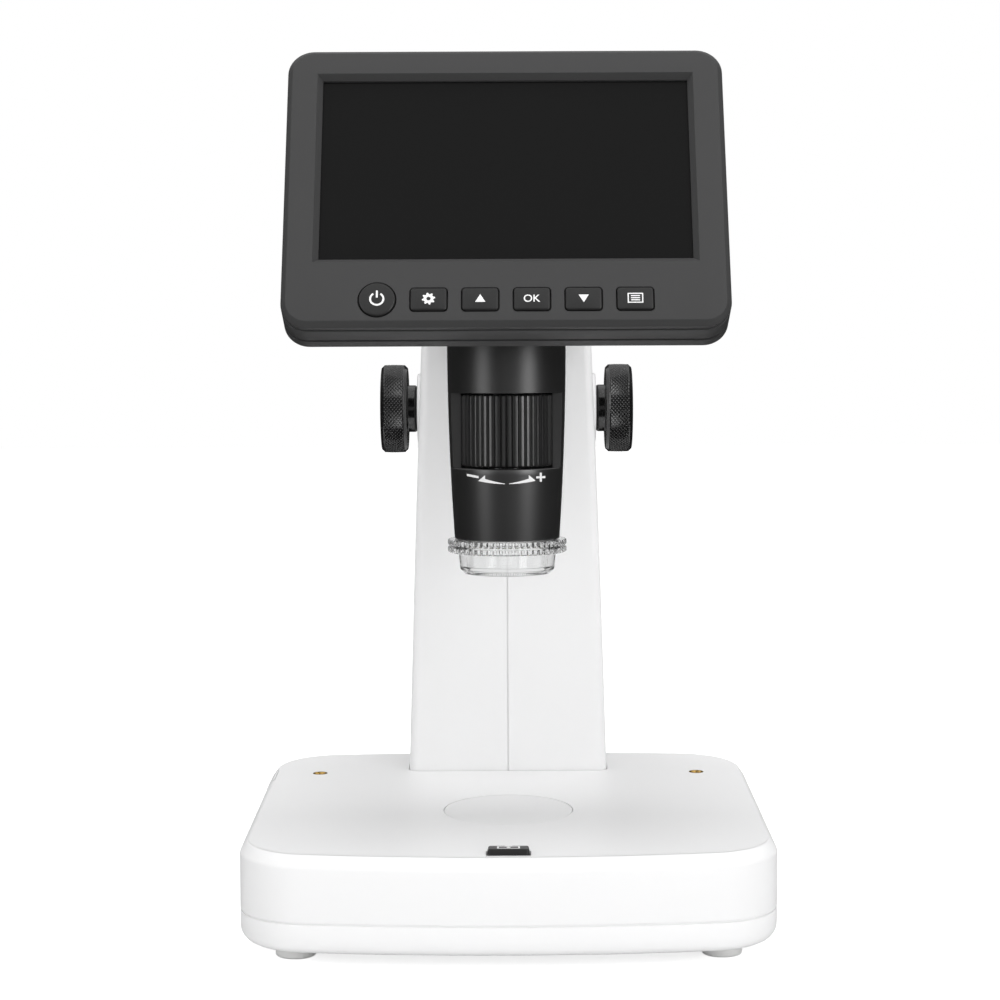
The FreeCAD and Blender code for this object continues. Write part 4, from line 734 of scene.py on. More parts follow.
armParts = armHalf(arm)
for name, sideSign, node in (("armRight", 1, "arm_right_shell"), ("armLeft", -1, "arm_left_shell")):
    piece = makeMesh(name, [onSide(armParts, sideSign)], fillEnds=True)
    slotCut = makeMesh("slotCut", softBlock(-arm["slotHalf"], arm["slotHalf"], arm["slotFrontY"],
                                            arm["slotBackY"], arm["slotLow"], arm["slotHigh"], 0.08))
    rod = [(10, 0), (10, arm["bore"]), (34, arm["bore"]), (34, 0)]
    bore = makeMesh("bore", [onSide(turnedAcross(rod, arm["knobY"], arm["knobZ"], 48), sideSign)])
    cutOut(piece, [slotCut, bore] + (screwPockets(arm) if sideSign < 0 else []), close=True)
    boss = makeMesh("boss", [onSide(knobBoss(arm), sideSign)])
    cutOut(piece, [boss], "UNION", close=True)
    finishPiece(piece, finishes["white"], "stand", "white_shell", [node])
print("arm: done")


# Focus knobs

knob = dict(hubStart=27.95, hub=7.3, gripStart=30.9, grip=13.75, face=39.0, chamfer=0.9, shaft=3.0,
            knurls=66, knurlDepth=0.23, knurlLength=1.05, knurlFlat=0.9, samples=8, crown=0.1,
            dishEdge=9.0, dishRadius=8.4, dish=0.6)


# quads cut along the diagonal whose ends lie at the same radius, so that ridges and grooves run straight
def ridged(part):
    points, faces = part
    a, b, c, d = np.array(faces).T
    radius = np.hypot(points[:, 1] - arm["knobY"], points[:, 2] - arm["knobZ"])
    first = (np.abs(radius[a] - radius[c]) <= np.abs(radius[b] - radius[d]))[:, None]
    halves = [np.where(first, np.stack([a, b, c], 1), np.stack([a, b, d], 1)),
              np.where(first, np.stack([a, c, d], 1), np.stack([b, c, d], 1))]
    return points, np.concatenate(halves).tolist()


# diamond knurl: the lower of two zigzags that run round the grip the two ways, flattened on top
def knobTurned(s):
    pitch = s["knurlLength"]
    lowX, highX = s["gripStart"] + s["chamfer"], s["face"] - s["chamfer"]
    rows = int(round((highX - lowX) / pitch * s["samples"]))
    x = np.linspace(lowX, highX, rows + 1)
    middle, half = (lowX + highX) / 2, (highX - lowX) / 2
    grip = np.column_stack([x, s["grip"] - s["crown"] * ((x - middle) / half) ** 2])
    hub, face, rim = s["hubStart"], s["face"], s["grip"] - s["chamfer"] - 0.1
    start = softened([(hub, s["shaft"] - 1), (hub, s["hub"]), (s["gripStart"], s["hub"]),
                      (s["gripStart"], rim), grip[0] + (-0.05, -0.12)], [0.8, 0.4, 0.15], 4)
    end = softened([grip[-1] + (0.05, -0.12), (face, rim), (face, s["dishEdge"]),
                    (face - s["dish"], s["dishRadius"]), (face - s["dish"], 0)], [0.15, 0.1, 0.3], 4)
    start = np.concatenate([[[hub, 0]], start])
    profile = np.concatenate([start, grip, end])
    first, count = len(start), len(grip)

    def knurl(turn, profile):
        across = turn * s["knurls"] / (2 * math.pi)
        along = ((profile[:, 0] - middle) / pitch)[:, None]
        zig = [np.abs(np.mod(across + sign * along, 1) - 0.5) * 2 for sign in (-1, 1)]
        height = np.minimum(np.minimum(zig[0], zig[1]), s["knurlFlat"]) / s["knurlFlat"]
        weight = np.zeros(len(profile))
        ramp = np.minimum(np.arange(count), np.arange(count)[::-1])
        weight[first:first + count] = np.clip(ramp / 3, 0, 1)
        return -s["knurlDepth"] * (1 - height) * weight[:, None]

    return ridged(turnedAcross(profile, arm["knobY"], arm["knobZ"], s["knurls"] * s["samples"], knurl))


knobMesh = knobTurned(knob)
for name, sideSign, node in (("knobRight", 1, "right_focus_knob"), ("knobLeft", -1, "left_focus_knob")):
    addPiece(name, [onSide(knobMesh, sideSign)], "knob", "focus_shaft", "knob_black", [node], 28)
print("knobs: done")


# Barrel

barrel = dict(axisY=-12.1, top=194.0, shoulderZ=176.0, middleZ=140.0, bottom=111.8, shoulder=16.9,
              middle=16.42, nose=15.0, bore=13.0, upperBore=14.5, windowLow=132.2, windowHigh=153.5,
              windowDepth=5.5, cheekZ=142.0, lip=0.22, lipEase=0.07, pocket=14.1, wheel=13.9, wheelGap=0.25,
              ribs=48, ribDepth=0.75, ribCrown=0.12, tube=7.0)
barrelArc = circleThrough((barrel["nose"], barrel["bottom"]), (barrel["middle"], barrel["middleZ"]),
                          (barrel["shoulder"], barrel["shoulderZ"]))


# radius at a height: the circle through nose, middle and shoulder, straight above shoulderZ
def barrelRadius(z):
    x, y, radius = barrelArc
    curve = x + (1 if x < barrel["nose"] else -1) * np.sqrt(np.maximum(radius ** 2 - (z - y) ** 2, 0))
    return np.where(z > barrel["shoulderZ"], barrel["shoulder"], curve)


# a wall between two grids of the same size, with the masked cells left out and every rim closed
def thickSheet(outer, inner, solid):
    rows, columns = outer.shape[:2]
    count = rows * columns
    index = np.arange(count).reshape(rows, columns)
    a, b, c, d = index[:-1, :-1], index[:-1, 1:], index[1:, 1:], index[1:, :-1]
    cells = np.stack([a, b, c, d], axis=-1)[solid]
    faces = [cells, cells[:, ::-1] + count]
    padded = np.pad(solid, 1)
    rims = [((~padded[:-2, 1:-1]), a, b), ((~padded[2:, 1:-1]), c, d), ((~padded[1:-1, :-2]), d, a),
            ((~padded[1:-1, 2:]), b, c)]
    for free, p, q in rims:
        chosen = solid & free
        p, q = p[chosen], q[chosen]
        faces.append(np.stack([q, p, p + count, q + count], axis=-1))
    points = np.concatenate([outer.reshape(-1, 3), inner.reshape(-1, 3)])
    return points, np.concatenate(faces).tolist()


# front half of the barrel: radius follows the height, the window is left out of the wall,
# and its cheeks lie flat at the window's depth
def barrelFront(s):
    cheek = math.acos(s["windowDepth"] / float(barrelRadius(np.array([s["cheekZ"]]))[0]))
    inside = math.acos(s["windowDepth"] / s["pocket"])
    turn = np.concatenate([np.linspace(-math.pi / 2, -cheek, 7)[:-1], np.linspace(-cheek, cheek, 61),
                           np.linspace(cheek, math.pi / 2, 7)[1:]])
    innerTurn = np.interp(turn, [-math.pi / 2, -cheek, cheek, math.pi / 2],
                          [-math.pi / 2, -inside, inside, math.pi / 2])
    low, high = s["windowLow"], s["windowHigh"]
    z = np.concatenate([[s["bottom"] + 0.02, s["bottom"] + 0.12, s["bottom"] + 0.3],
                        np.linspace(s["bottom"] + 1, low - 0.35, 16), [low - 0.15, low, low + 0.01],
                        np.linspace(low + 1, high - 1, 16), [high - 0.01, high, high + 0.12],
                        np.linspace(high + 0.35, s["top"] - 0.5, 24), [s["top"] - 0.2, s["top"] - 0.04]])
    radius = barrelRadius(z)
    radius[:3] -= [0.3, 0.1, 0.0]
    radius[np.isclose(z, low) | np.isclose(z, high)] -= s["lip"]
    radius[np.isclose(z, low - 0.15)] -= s["lipEase"]
    radius[-2:] -= [0.08, 0.3]
    z = np.append(z, [s["top"], s["top"]])
    radius = np.append(radius, [s["shoulder"] - 0.6, 0.0])
    innerZ = np.clip(z, s["bottom"], s["top"] - 2)
    innerRadius = np.where(z < high, s["bore"], s["upperBore"])
    innerRadius[-1] = 0.0
    window = (z > low + 1e-4) & (z < high - 1e-4)
    innerRadius = np.where(window | np.isclose(z, low) | np.isclose(z, high), s["bore"] - 0.4, innerRadius)
    z[0] = s["bottom"]

    def wall(radius, z, turn):
        return np.stack([radius[:, None] * np.sin(turn), s["axisY"] - radius[:, None] * np.cos(turn),
                         np.repeat(z[:, None], len(turn), axis=1)], axis=-1)

    outer, inner = wall(radius, z, turn), wall(innerRadius, innerZ, innerTurn)
    middles = (z[:-1] + z[1:]) / 2
    inWindow = (middles > low) & (middles < high)
    turnMiddles = (turn[:-1] + turn[1:]) / 2
    solid = ~(inWindow[:, None] & (np.abs(turnMiddles) < cheek)[None, :])
    # the pocket's side of the cheeks
    rowsIn = (z >= low - 1e-6) & (z <= high + 1e-6)
    pocketPoint = wall(np.full(len(z), s["pocket"]), innerZ, innerTurn)
    sides = np.abs(innerTurn) >= inside - 1e-9
    pick = rowsIn[:, None] & sides[None, :]
    inner[pick] = pocketPoint[pick]
    return thickSheet(outer, inner, solid)


addPiece("barrelFront", [barrelFront(barrel)], "barrel", "head", "barrel_black", ["barrel_front_shell"], 25)


# ribbed wheel: radius dips in narrow grooves between rounded ribs, and its ends are bevelled
def focusWheel(s):
    low, high = s["windowLow"] + s["wheelGap"], s["windowHigh"] - s["wheelGap"]
    r, bore = s["wheel"], s["tube"] + 0.05
    z = np.concatenate([[low, low + 0.25, low + 0.6], np.linspace(low + 1.2, high - 1.2, 6),
                        [high - 0.6, high - 0.25, high]])
    radius = np.array([r - 0.9, r - 0.35, r] + [r] * 6 + [r, r - 0.35, r - 0.9])
    start, end = [[bore, low], [r - 2.0, low]], [[r - 2.0, high], [bore, high], [bore, low]]
    profile = np.concatenate([start, np.column_stack([radius, z]), end])
    weight = np.concatenate([[0, 0, 0.15, 0.6, 1], np.ones(6), [1, 0.6, 0.15, 0, 0, 0]])

    def ribs(turn, profile):
        share = np.mod(turn * s["ribs"] / (2 * math.pi), 1)
        near = np.abs(share - 0.5) * 2  # 1 at a groove, 0 on a rib
        groove = np.clip((near - 0.45) / 0.5, 0, 1) ** 0.8
        crown = s["ribCrown"] * near ** 2
        return -(s["ribDepth"] * groove + crown) * weight[:, None]

    return turned(profile, 0, s["axisY"], s["ribs"] * 14, ribs)


addPiece("focusWheelRibbed", [focusWheel(barrel)], "wheel", "focus_ring", "wheel_black", ["focus_wheel"], 30)


# solid mark: a column strip between two height curves, lifted a hair off its ground
def strip(x, low, high, ground, proud=0.03, sunk=0.08, rows=2):
    t = np.linspace(0, 1, rows)[:, None]
    z = np.asarray(low)[None, :] * (1 - t) + np.asarray(high)[None, :] * t
    x2 = np.repeat(np.asarray(x)[None, :], rows, axis=0)
    top, under = ground(x2, z, proud), ground(x2, z, -sunk)
    return thickSheet(top, under, np.ones((rows - 1, len(x) - 1), bool))


# a point of the barrel's front at (x, z), raised by rise
def onBarrel(x, z, rise):
    radius = barrelRadius(z) + rise
    y = barrel["axisY"] - np.sqrt(radius ** 2 - x ** 2)
    return np.stack([x * radius / (radius - rise), y, z], axis=-1)


marks = dict(z=129.45, arrowStart=0.55, arrowNeck=6.1, arrowTip=7.95, tail=0.12, neck=0.95, head=2.0,
             below=1.25, sag=0.012, minusFrom=-11.25, minusTo=-7.95, minusZ=130.05, minusHalf=0.32,
             minusSlant=-0.16, plusX=9.5, plusZ=129.9, plusHalf=1.28, plusBar=0.3)


# two arrows of tapering height, a minus and a plus, each a strip that follows the barrel
def focusMarks(s):
    parts = []
    for side in (-1, 1):
        start, neck, tip = s["arrowStart"], s["arrowNeck"], s["arrowTip"]
        x = np.array([start, 2.0, 3.5, 5.0, neck, neck + 0.02, 6.8, 7.4, tip])
        high = np.interp(x, [start, neck, neck + 0.02, tip], [s["tail"], s["neck"], s["head"], s["tail"]])
        low = np.interp(x, [start, tip], [0, -0.02])
        level = s["z"] - s["below"] + s["sag"] * x ** 2
        parts.append(strip(side * x, level + low, level + high, onBarrel))
    x = np.linspace(s["minusFrom"], s["minusTo"], 6)
    level = s["minusZ"] + (x - s["minusTo"]) * s["minusSlant"]
    parts.append(strip(x, level - s["minusHalf"], level + s["minusHalf"], onBarrel))
    p, h, b = s["plusX"], s["plusHalf"], s["plusBar"]
    x = np.array([p - h, p - b, p - b + 1e-3, p, p + b - 1e-3, p + b, p + h])
    tall = np.array([b, b, h, h, h, b, b])
    parts.append(strip(x, s["plusZ"] - tall, s["plusZ"] + tall, onBarrel))
    return parts


addPiece("focusMarks", focusMarks(barrel | marks), "print", "head", "barrel_black")
print("barrel: done")


# Clear cap

cap = dict(axisY=-12.1, ringTop=111.6, ring=17.0, ringLow=108.0, band=1.5, groove=0.4, teeth=60, tooth=0.45,
           cup=14.0, lower=13.5, rim=12.3, bottom=101.8, wall=1.2, spigot=12.95, spigotTop=113.8)


# cup and toothed ring in one turned profile; the teeth are a wave on the ring's two bands
def clearCap(s):
    bore = s["spigot"] - s["wall"]
    bandLow, bandHigh = s["ringLow"] + s["band"], s["ringTop"] - s["band"]
    r, groove, low, high = s["ring"], s["groove"], s["ringLow"], s["ringTop"]
    ring = [(s["cup"], low), (r - 0.3, low), (r, low + 0.25), (r, bandLow - 0.25), (r - groove / 2, bandLow),
            (r - groove, bandLow + 0.05), (r - groove, bandHigh - 0.05), (r - groove / 2, bandHigh),
            (r, bandHigh + 0.25), (r, high - 0.25), (r - 0.3, high)]
    spigot = softened([(r - 0.3, high), (s["spigot"], high), (s["spigot"], s["spigotTop"]),
                       (bore, s["spigotTop"]), (bore, high)], [0.1, 0.25, 0.25], 3)[1:]
    cupIn = softened([(bore, s["ringTop"]), (bore, s["bottom"] + 2.2), (s["rim"] - s["wall"], s["bottom"]),
                      (s["rim"], s["bottom"]), (s["lower"], s["bottom"] + 1.2), (s["cup"], s["ringLow"])],
                     [0.8, 0.35, 0.35, 0.8], 4)[1:]
    profile = np.concatenate([ring, spigot, cupIn])
    weight = np.zeros(len(profile))
    weight[1:11] = [0.7, 1, 1, 0.7, 0, 0, 0.7, 1, 1, 0.7]

    def teeth(turn, profile):
        share = np.mod(turn * s["teeth"] / (2 * math.pi), 1)
        dip = np.clip((np.abs(share - 0.5) * 2 - 0.35) / 0.3, 0, 1)
        return -s["tooth"] * dip * weight[:, None]

    return turned(profile, 0, s["axisY"], s["teeth"] * 10, teeth)


addPiece("clearCapToothed", [clearCap(cap)], "clear", "cap", "clear_plastic", ["clear_cap"], 30)
print("clear cap: done")


# Display

display = dict(
    lean=25.5, datumY=-64.3, datumZ=173.6, halfWidth=59.7, height=81.7, bevel=1.4, corner=7.2,
    wall=2.2, bezel=3.7, frameEnd=9.9, grooveWidth=0.9, grooveInset=0.6, plateThickness=2.2,
    windowHalf=50.0, windowLow=18.8, windowHigh=73.8, recess=1.5, keyPitch=13.64, keyRow=6.1,
    keyHalfX=4.8, keyHalfY=3.25, keyCorner=0.9, powerRadius=4.85, gap=0.25, mouth=0.12, proud=0.45,
    dome=0.22, keyFlange=0.6, powerFlange=0.35, keyDepth=0.9, markProud=0.025, markSunk=0.06,
    glassBorder=1.0, glass=0.8, ground=0.12,
)


# display coordinates: x across, s up the face, n out of it, leaned back into the room
def onFace(points):
    a = math.radians(display["lean"])
    points = np.asarray(points, float)
    x, s, n = points[..., 0], points[..., 1], points[..., 2]
    return np.stack([x, display["datumY"] + s * math.sin(a) - n * math.cos(a),
                     display["datumZ"] + s * math.cos(a) + n * math.sin(a)], axis=-1)


# points of the face raised by n
def faceLift(n):
    return lambda p: onFace(np.column_stack([p, np.full(len(p), n)]))


displayLoop = roundedRect(display["halfWidth"], -display["bevel"], display["height"] + display["bevel"],
                          display["corner"], 12, 16)
keyNames = ("power", "settings", "up", "ok", "down", "mode")
keyPlaces = [(index - 2.5) * display["keyPitch"] for index in range(6)]


# outline of one key, grown by grow: the first is round
def keyLoop(index, grow):
    s, x = display, keyPlaces[index]
    if index == 0:
        return circle(x, s["keyRow"], s["powerRadius"] + grow, 48)
    low, high = s["keyRow"] - s["keyHalfY"], s["keyRow"] + s["keyHalfY"]
    outline = roundedRect(s["keyHalfX"], low, high, s["keyCorner"], 5, 7)
    return insetLoop(outline, -grow) + np.array([x, 0])


# rectangle with sharp corners, divided along its sides
def squareLoop(half, low, high, steps=8):
    corners = np.array([(-half, low), (half, low), (half, high), (-half, high), (-half, low)])
    t = np.linspace(0, 1, steps + 1)[:-1, None]
    return np.concatenate([a * (1 - t) + b * t for a, b in zip(corners[:-1], corners[1:])])


# the outline once for each (inset, height) of the profile, stacked
def loopsAlong(profile, outline=displayLoop):
    return stack([faceLift(n)(insetLoop(outline, inset)) for inset, n in profile])


# front plate: a rounded edge down to the groove, with a funnelled window and a mouth for each key
def bezel(s):
    b = s["bevel"]
    edge = softened([(9, 0), (b, 0), (0, -b), (0, -s["bezel"] + s["grooveWidth"]),
                     (s["grooveInset"], -s["bezel"] + s["grooveWidth"]), (s["grooveInset"], -s["bezel"]),
                     (s["wall"], -s["bezel"]), (s["wall"], -s["plateThickness"])],
                    [0.45, 0.4, 0.2, 0.1, 0, 0], 4)[1:]
    face, back = insetLoop(displayLoop, edge[0][0]), insetLoop(displayLoop, s["wall"])
    keys = [keyLoop(index, s["gap"]) for index in range(6)]
    keyMouths = [keyLoop(index, s["gap"] + s["mouth"]) for index in range(6)]
    recess = s["recess"]
    windowOuter = squareLoop(s["windowHalf"] + recess, s["windowLow"] - recess, s["windowHigh"] + recess)
    windowInner = squareLoop(s["windowHalf"], s["windowLow"], s["windowHigh"])
    parts = [loopsAlong(edge), plate(face, [windowOuter] + keyMouths, faceLift(0)),
             plate(back, [windowInner] + keys, faceLift(-s["plateThickness"]))]
    parts.append(stack([faceLift(0)(windowOuter), faceLift(-s["recess"])(windowInner),
                        faceLift(-s["plateThickness"])(windowInner)]))
    for loop, mouth in zip(keys, keyMouths):
        parts.append(stack([faceLift(0)(mouth), faceLift(-s["mouth"])(loop),
                            faceLift(-s["plateThickness"])(loop)]))
    return parts


addPiece("bezelFace", bezel(display), "display", "display", "display_black", ["display_bezel"], 25)


# middle band between the two grooves
def frameBand(s):
    low = -s["frameEnd"] + s["grooveWidth"]
    profile = softened([(s["wall"], -s["bezel"]), (0, -s["bezel"]), (0, low), (s["grooveInset"], low),
                        (s["grooveInset"], -s["frameEnd"]), (s["wall"], -s["frameEnd"]),
                        (s["wall"], -s["bezel"])], [0.25, 0.25, 0.1, 0, 0], 4)
    return [loopsAlong(profile)]


addPiece("frameBand", frameBand(display), "display", "display", "display_black", ["display_frame"], 25)


# glass: flat plate with a ground edge
def screenPlate(s):
    half, border = s["windowHalf"], s["glassBorder"]
    outline = roundedRect(half + border, s["windowLow"] - border, s["windowHigh"] + border, 0.8, 5, 10)
    top, low = -s["plateThickness"] - 0.005, -s["plateThickness"] - s["glass"]
    ground = s["ground"]
    profile = [(ground, top), (0, top - ground), (0, low + ground), (ground, low)]
    loop = insetLoop(outline, ground)
    return [loopsAlong(profile, outline), plate(loop, [], faceLift(top)), plate(loop, [], faceLift(low))]


addPiece("screenPlate", screenPlate(display), "screen", "display", "screen", ["screen_glass"])


# height of a key's dome over (x, s): highest at its middle, level with its rim at the edge
def domeHeight(index, x, y):
    s = display
    u, v = x - keyPlaces[index], y - s["keyRow"]
    if index == 0:
        rise = 1 - (u ** 2 + v ** 2) / s["powerRadius"] ** 2
    else:
        rise = (1 - (u / s["keyHalfX"]) ** 2) * (1 - (v / s["keyHalfY"]) ** 2)
    return s["proud"] - 0.06 + s["dome"] * np.clip(rise, 0, 1)


# key: flange and sides as loops, then the dome as rings that shrink to its middle
def keyCap(index):
    s = display
    centre = np.array([keyPlaces[index], s["keyRow"]])
    low, flange = -s["plateThickness"] - 0.1, s["powerFlange"] if index == 0 else s["keyFlange"]
    sides = [(flange, low - s["keyDepth"]), (flange, low), (0, low), (0, 0.1), (-0.06, 0.24), (-0.18, 0.34)]
    rows = [faceLift(n)(keyLoop(index, grow)) for grow, n in sides]
    rim = keyLoop(index, -0.34)
    for share in np.linspace(1, 0, 12):
        loop = centre + (rim - centre) * share
        rows.append(onFace(np.column_stack([loop, domeHeight(index, loop[:, 0], loop[:, 1])])))
    return [stack(rows), plate(keyLoop(index, flange), [], faceLift(low - s["keyDepth"]))]


# mark on a key: a loop with holes, cut out of a thin skin that follows the dome
def keyMark(index, outer, holes=()):
    centre = np.array([keyPlaces[index], display["keyRow"]])
    outer = finer(np.asarray(outer) + centre)
    holes = [finer(np.asarray(h) + centre) for h in holes]

    def lift(rise):
        return lambda p: onFace(np.column_stack([p, domeHeight(index, p[:, 0], p[:, 1]) + rise]))

    fill = fillPoints(outer, holes)
    top, low = lift(display["markProud"]), lift(-display["markSunk"])
    parts = [plate(outer, holes, top, fill), plate(outer, holes, low, fill)]
    return parts + [holeWall(loop, top, low) for loop in [outer] + holes]


# a loop with its long edges divided
def finer(loop, step=0.3):
    out = []
    for a, b in zip(loop, np.roll(loop, -1, axis=0)):
        count = max(1, int(math.ceil(np.linalg.norm(b - a) / step)))
        out.append(a + (b - a) * (np.arange(count) / count)[:, None])
    return np.concatenate(out)


# grid points inside a loop and clear of its edges and holes
def fillPoints(outer, holes, step=0.3):
    low, high = outer.min(axis=0), outer.max(axis=0)
    x, y = np.meshgrid(*[np.arange(low[axis] + step / 2, high[axis], step) for axis in (0, 1)])
    points = np.column_stack([x.ravel(), y.ravel()])
    rim = np.concatenate([outer] + list(holes))
    clear = np.linalg.norm(points[:, None] - rim[None], axis=2).min(axis=1) > 0.4 * step
    keep = insideLoop(points, outer) & clear
    for hole in holes:
        keep &= ~insideLoop(points, hole)
    return points[keep]


# arc band from angle a to b
def arcBand(radius, width, a, b, steps=28):
    turn = np.radians(np.linspace(a, b, steps))
    outer = (radius + width / 2) * np.stack([np.sin(turn), np.cos(turn)], axis=1)
    inner = (radius - width / 2) * np.stack([np.sin(turn), np.cos(turn)], axis=1)
    return np.concatenate([outer[::-1], inner])


# gear: the radius steps between outer and root every two points of four
def gearLoop(outer, root, teeth=8):
    turn = np.arange(teeth * 4) * 2 * math.pi / (teeth * 4) + math.pi / (teeth * 4)
    radius = np.where(np.arange(teeth * 4) % 4 < 2, outer, root)
    return np.stack([radius * np.cos(turn), radius * np.sin(turn)], axis=1)


# rectangle as a loop
def barLoop(x0, x1, y0, y1):
    return np.array([(x0, y0), (x1, y0), (x1, y1), (x0, y1)])


# letters of the built-in font: their flat faces are lifted over the dome twice and closed along the rim
def textMark(index, text, size):
    curve = bpy.data.curves.new("letters", "FONT")
    curve.body, curve.size, curve.align_x, curve.align_y = text, size, "CENTER", "CENTER"
    curve.resolution_u = 6
    curve.offset = 0.02
    holder = linked("letters", curve)
    mesh = bpy.data.meshes.new_from_object(holder.evaluated_get(bpy.context.evaluated_depsgraph_get()))
    bpy.data.objects.remove(holder)
    bm = bmesh.new()
    bm.from_mesh(mesh)
    bmesh.ops.remove_doubles(bm, verts=bm.verts, dist=1e-5)
    flat = np.array([vert.co[:2] for vert in bm.verts])
    faces = [tuple(vert.index for vert in face.verts) for face in bm.faces]
    rim = [(edge.verts[0].index, edge.verts[1].index) for edge in bm.edges if edge.is_boundary]
    bm.free()
    flat = flat - (flat.min(axis=0) + flat.max(axis=0)) / 2 + np.array([keyPlaces[index], display["keyRow"]])
    level = domeHeight(index, flat[:, 0], flat[:, 1])
    top = onFace(np.column_stack([flat, level + display["markProud"]]))
    low = onFace(np.column_stack([flat, level - display["markSunk"]]))
    count = len(flat)
    faces += [tuple(vert + count for vert in face[::-1]) for face in faces]
    faces += [(a, b, b + count, a + count) for a, b in rim]
    return [(np.concatenate([top, low]), faces)]


signs = dict(ring=1.75, ringWidth=0.5, ringFrom=32, barHalf=0.25, barLow=0.35, barHigh=2.45,
             gear=1.75, gearRoot=1.3, gearHole=0.55, arrowHalf=1.35, arrowBase=1.0, arrowTip=1.25,
             text="OK", textSize=3.0, pageX=2.05, pageY=1.45, pageLine=0.3,
             rowHalf=1.2, rowThick=0.15, rowStep=0.62)


# the mark of a key, built of bands, bars and loops by its name
def keyMarks(index, name, s=signs):
    if name == "power":
        band = arcBand(s["ring"], s["ringWidth"], s["ringFrom"], 360 - s["ringFrom"])
        bar = barLoop(-s["barHalf"], s["barHalf"], s["barLow"], s["barHigh"])
        return keyMark(index, band) + keyMark(index, bar)
    if name == "settings":
        return keyMark(index, gearLoop(s["gear"], s["gearRoot"]), [circle(0, 0, s["gearHole"], 20)[::-1]])
    half, low, tip = s["arrowHalf"], s["arrowBase"], s["arrowTip"]
    if name == "up":
        return keyMark(index, np.array([(-half, -low), (half, -low), (0, tip)]))
    if name == "down":
        return keyMark(index, np.array([(-half, low), (0, -tip), (half, low)]))
    if name == "ok":
        return textMark(index, s["text"], s["textSize"])
    x, y, line = s["pageX"], s["pageY"], s["pageLine"]
    marks = keyMark(index, barLoop(-x, x, -y, y), [barLoop(-x + line, x - line, -y + line, y - line)])
    for row in (-1, 0, 1):
        level = row * s["rowStep"]
        bar = barLoop(-s["rowHalf"], s["rowHalf"], level - s["rowThick"], level + s["rowThick"])
        marks += keyMark(index, bar)
    return marks


for index, name in enumerate(keyNames):
    addPiece(name + "KeyCap", keyCap(index), "key", name + "_key", "key_black", [name + "_key"])
    addPiece(name + "Mark", keyMarks(index, name), "print", name + "_key", "key_black")
print("display: done")


# Studio: floor, world, lamps and camera

studio = dict(
    floorSize=6.0, floorTint=(0.9, 0.9, 0.9), floorLift=0.72, floorShine=0.03, ambient=0.42,
    rampFrom=0.25, rampTo=0.75, low=0.03, high=0.72,  # reflected brightness over the direction's height
    lamps=(  # name, place, aim, width, height, power, seen in reflections
        ("leftSoftbox", (-0.73, -0.70, 0.40), (0, 0, 0.14), 0.42, 0.8, 1.8, True),
        ("rightSoftbox", (0.68, -0.74, 0.46), (0, 0, 0.14), 0.42, 0.8, 3.35, True),
        ("topSoftbox", (0.0, -0.05, 1.1), (0, 0, 0.1), 0.9, 0.6, 8.4, False),
        ("frontCard", (0.1, -1.3, 0.2), (0, 0, 0.12), 0.9, 0.6, 0.34, True),
        ("frontFill", (0.1, -1.25, 0.08), (0, 0, 0.12), 0.9, 0.5, 1.7, False),
    ),
)


# paper floor: plain diffuse, lifted towards white for the camera and for what is seen through clear plastic,
# and dark in reflections
def buildFloor(s):
    half = s["floorSize"] / 2
    mesh = bpy.data.meshes.new("floor")
    corners = [(-half, -half, 0), (half, -half, 0), (half, half, 0), (-half, half, 0)]
    mesh.from_pydata(corners, [], [(0, 1, 2, 3)])
    floor = linked("floor", mesh)
    material = bpy.data.materials.new("floorPaper")
    material.use_nodes = True
    nodes, links = material.node_tree.nodes, material.node_tree.links
    nodes.clear()
    paper = addNode(nodes, "ShaderNodeBsdfDiffuse", {"Color": (*s["floorTint"], 1)})
    glow, path = addNode(nodes, "ShaderNodeEmission"), addNode(nodes, "ShaderNodeLightPath")
    lift = addNode(nodes, "ShaderNodeMath", {1: s["floorLift"]}, operation="MULTIPLY")
    seen = addNode(nodes, "ShaderNodeMath", operation="MAXIMUM")
    both, which = addNode(nodes, "ShaderNodeAddShader"), addNode(nodes, "ShaderNodeMixShader")
    shine = addNode(nodes, "ShaderNodeEmission", {"Strength": s["floorShine"]})
    end = addNode(nodes, "ShaderNodeOutputMaterial")
    wire(links, (path, "Is Camera Ray", seen, 0), (path, "Is Transmission Ray", seen, 1), (seen, 0, lift, 0),
         (lift, 0, glow, "Strength"), (paper, 0, both, 0), (glow, 0, both, 1),
         (path, "Is Glossy Ray", which, 0), (both, 0, which, 1), (shine, 0, which, 2),
         (which, 0, end, "Surface"))
    floor.data.materials.append(material)


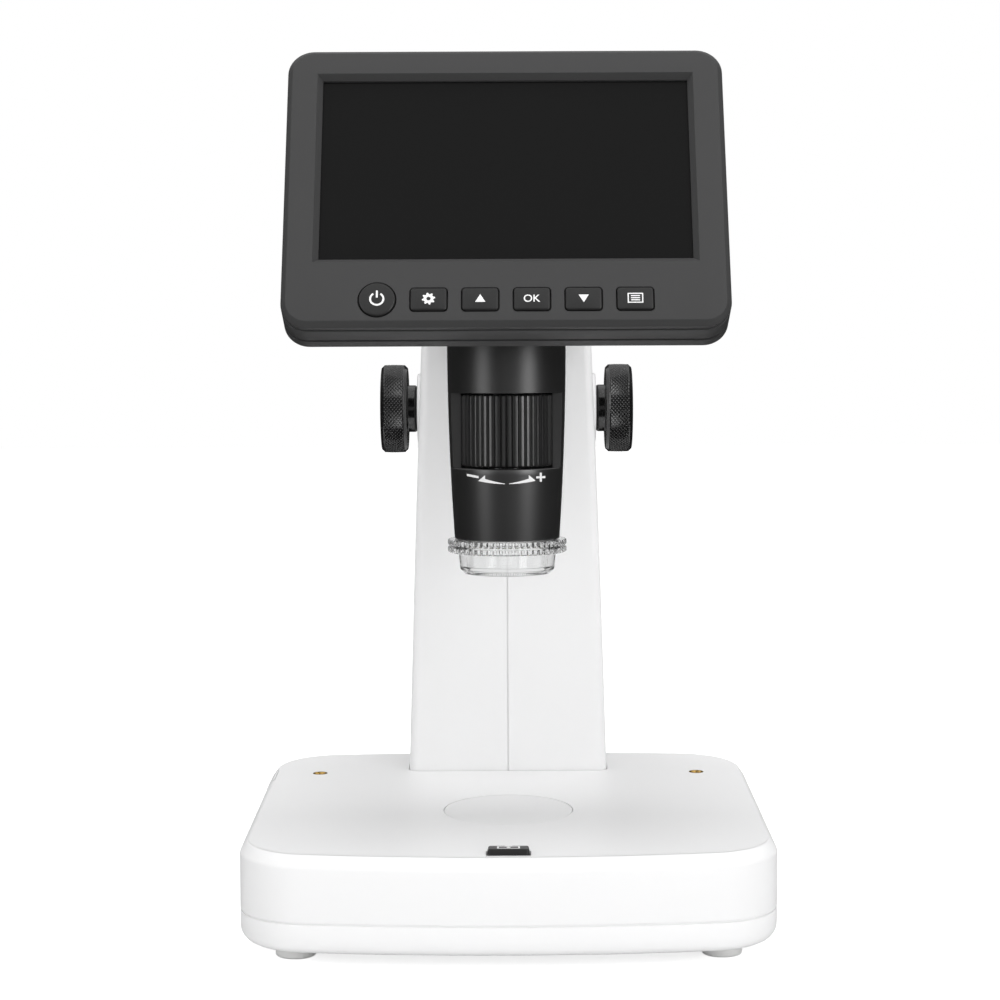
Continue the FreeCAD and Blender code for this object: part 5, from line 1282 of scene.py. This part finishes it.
# the world is plain white to the camera and through clear plastic; in reflections it is dark near the
# horizon and bright overhead
def buildWorld(s):
    world = bpy.data.worlds.new("studio")
    bpy.context.scene.world = world
    world.use_nodes = True
    nodes, links = world.node_tree.nodes, world.node_tree.links
    nodes.clear()
    path, place = addNode(nodes, "ShaderNodeLightPath"), addNode(nodes, "ShaderNodeTexCoord")
    apart = addNode(nodes, "ShaderNodeSeparateXYZ")
    span = {"From Min": s["rampFrom"], "From Max": s["rampTo"], "To Min": s["low"], "To Max": s["high"]}
    ramp = addNode(nodes, "ShaderNodeMapRange", span, interpolation_type="SMOOTHSTEP")
    glossy = addNode(nodes, "ShaderNodeMix", {2: s["ambient"]})
    seen = addNode(nodes, "ShaderNodeMath", operation="MAXIMUM")
    level = addNode(nodes, "ShaderNodeMix", {3: 1.0})
    glow = addNode(nodes, "ShaderNodeBackground", {"Color": (1, 1, 1, 1)})
    end = addNode(nodes, "ShaderNodeOutputWorld")
    wire(links, (place, "Generated", apart, 0), (apart, "Z", ramp, "Value"),
         (path, "Is Glossy Ray", glossy, 0), (ramp, "Result", glossy, 3),
         (path, "Is Camera Ray", seen, 0), (path, "Is Transmission Ray", seen, 1),
         (seen, 0, level, 0), (glossy, 0, level, 2), (level, 0, glow, "Strength"),
         (glow, 0, end, "Surface"))


# place a thing so that its minus z axis points at the target
def aimed(thing, place, target):
    thing.location = place
    thing.rotation_euler = (Vector(target) - Vector(place)).to_track_quat("-Z", "Y").to_euler()


# one rectangular lamp for each row of the settings
def buildLamps(s):
    for name, place, target, width, height, power, shows in s["lamps"]:
        light = bpy.data.lights.new(name, "AREA")
        light.shape, light.size, light.size_y, light.energy = "RECTANGLE", width, height, power
        lamp = linked(name, light)
        lamp.visible_glossy = shows
        aimed(lamp, place, target)


camera = dict(place=(0.0, -0.6861, 0.1686), pitch=3.9, roll=0.25, lens=84.92, shift=-0.007)


# camera turned up from straight down by 90 less pitch, then rolled about its view
def buildCamera(s):
    data = bpy.data.cameras.new("camera")
    data.lens, data.sensor_width, data.shift_x = s["lens"], 36.0, s["shift"]
    data.clip_start, data.clip_end = 0.05, 20
    eye = linked("camera", data)
    tilt = Matrix.Rotation(math.radians(90 - s["pitch"]), 4, "X")
    roll = Matrix.Rotation(math.radians(-s["roll"]), 4, "Z")
    eye.matrix_world = Matrix.Translation(s["place"]) @ (tilt @ roll)
    bpy.context.scene.camera = eye


buildFloor(studio)
buildWorld(studio)
buildLamps(studio)
buildCamera(camera)
bpy.context.scene.view_settings.view_transform = "Standard"
print("studio: done")
